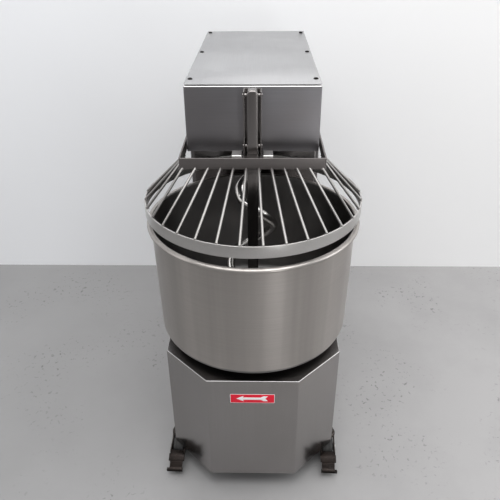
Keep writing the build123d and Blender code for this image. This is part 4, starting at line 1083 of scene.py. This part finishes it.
def area(name, place, target, size, power, gloss=0.3, spread=1.0):
    lamp = bpy.data.lights.new(name, "AREA")
    lamp.shape = "RECTANGLE"
    lamp.size = size[0]
    lamp.size_y = size[1]
    lamp.energy = power
    lamp.specular_factor = gloss
    lamp.diffuse_factor = spread
    obj = bpy.data.objects.new(name, lamp)
    obj.location = place
    obj.rotation_euler = (Vector(target) - Vector(place)).to_track_quat("-Z", "Y").to_euler()
    bpy.context.scene.collection.objects.link(obj)


WALL_Y = 0.66
WALL_TOP = 3.2
SIDE = 5
# painted light: the floor's right colour is lighter than its left
FLOOR = room_material("floor_pale", (0.265, 0.262, 0.262), (0.345, 0.338, 0.338), 0.42, 0.25, 0.6)
WALL = room_material("wall_white", (0.90, 0.91, 0.93), (0.93, 0.93, 0.93), 0.6, 0.02, 0.0)
flat("floor", [(-SIDE, -SIDE, 0), (SIDE, -SIDE, 0), (SIDE, SIDE, 0), (-SIDE, SIDE, 0)], FLOOR)
flat(
    "wall",
    [(-SIDE, WALL_Y, 0), (SIDE, WALL_Y, 0), (SIDE, WALL_Y, WALL_TOP), (-SIDE, WALL_Y, WALL_TOP)],
    WALL,
)
area("ceiling_light", (0, -0.5, 2.9), (0, -0.2, 0), (2.6, 2.6), 62)
area("left_light", (-2.6, -0.6, 1.9), (0, 0, 0.6), (1.6, 1.6), 9)
area("right_light", (2.6, -0.2, 1.9), (0, 0, 0.6), (1.6, 1.6), 20)
area("far_window", (1.5, -3.6, 0.2), (0.1, 0, 0.9), (0.8, 1.6), 14, 1.0, 0.0)


def studio_world():
    """Pale above and behind the machine, mid grey in front of it, as a long room would be."""
    made = bpy.data.worlds.new("studio")
    made.use_nodes = True
    tree = made.node_tree
    source = tree.nodes.new("ShaderNodeTexCoord")
    split = tree.nodes.new("ShaderNodeSeparateXYZ")
    tree.links.new(source.outputs["Generated"], split.inputs[0])
    front = span(tree, split.outputs[1], 0, 1, -0.95, -0.1)
    above = span(tree, split.outputs[2], 0, 1, 0.05, 0.75)
    either = sums(tree, "MAXIMUM", front, above)
    colour = mixed(tree, either, (0.17, 0.165, 0.165), (0.86, 0.87, 0.88))
    side = span(tree, split.outputs[0], 0, 1, -0.9, 0.1)
    shaded = mixed(tree, side, (0.36, 0.355, 0.355), colour)
    tree.links.new(shaded, tree.nodes["Background"].inputs["Color"])
    tree.nodes["Background"].inputs["Strength"].default_value = 1.25
    return made


bpy.context.scene.world = studio_world()

CAMERA_PLACE = Vector((0.019, -1.3953, 1.2967))
CAMERA_YAW = radians(-1.3)
CAMERA_PITCH = radians(30.65)
CAMERA_ROLL = radians(-0.45)
LEVEL_AHEAD = Vector((sin(CAMERA_YAW), cos(CAMERA_YAW), 0))
FORWARD = LEVEL_AHEAD * cos(CAMERA_PITCH) - Vector((0, 0, sin(CAMERA_PITCH)))
LEVEL = Vector((cos(CAMERA_YAW), -sin(CAMERA_YAW), 0))
UPWARD = LEVEL.cross(FORWARD)
RIGHT = LEVEL * cos(CAMERA_ROLL) + UPWARD * sin(CAMERA_ROLL)
TOP = UPWARD * cos(CAMERA_ROLL) - LEVEL * sin(CAMERA_ROLL)
lens = bpy.data.cameras.new("camera")
lens.lens = 40.57
lens.sensor_width = 36
camera = bpy.data.objects.new("camera", lens)
turn = Matrix((RIGHT, TOP, -FORWARD)).transposed().to_4x4()
camera.matrix_world = Matrix.Translation(CAMERA_PLACE) @ turn
bpy.context.scene.collection.objects.link(camera)
bpy.context.scene.camera = camera
bpy.context.scene.view_settings.view_transform = "Standard"
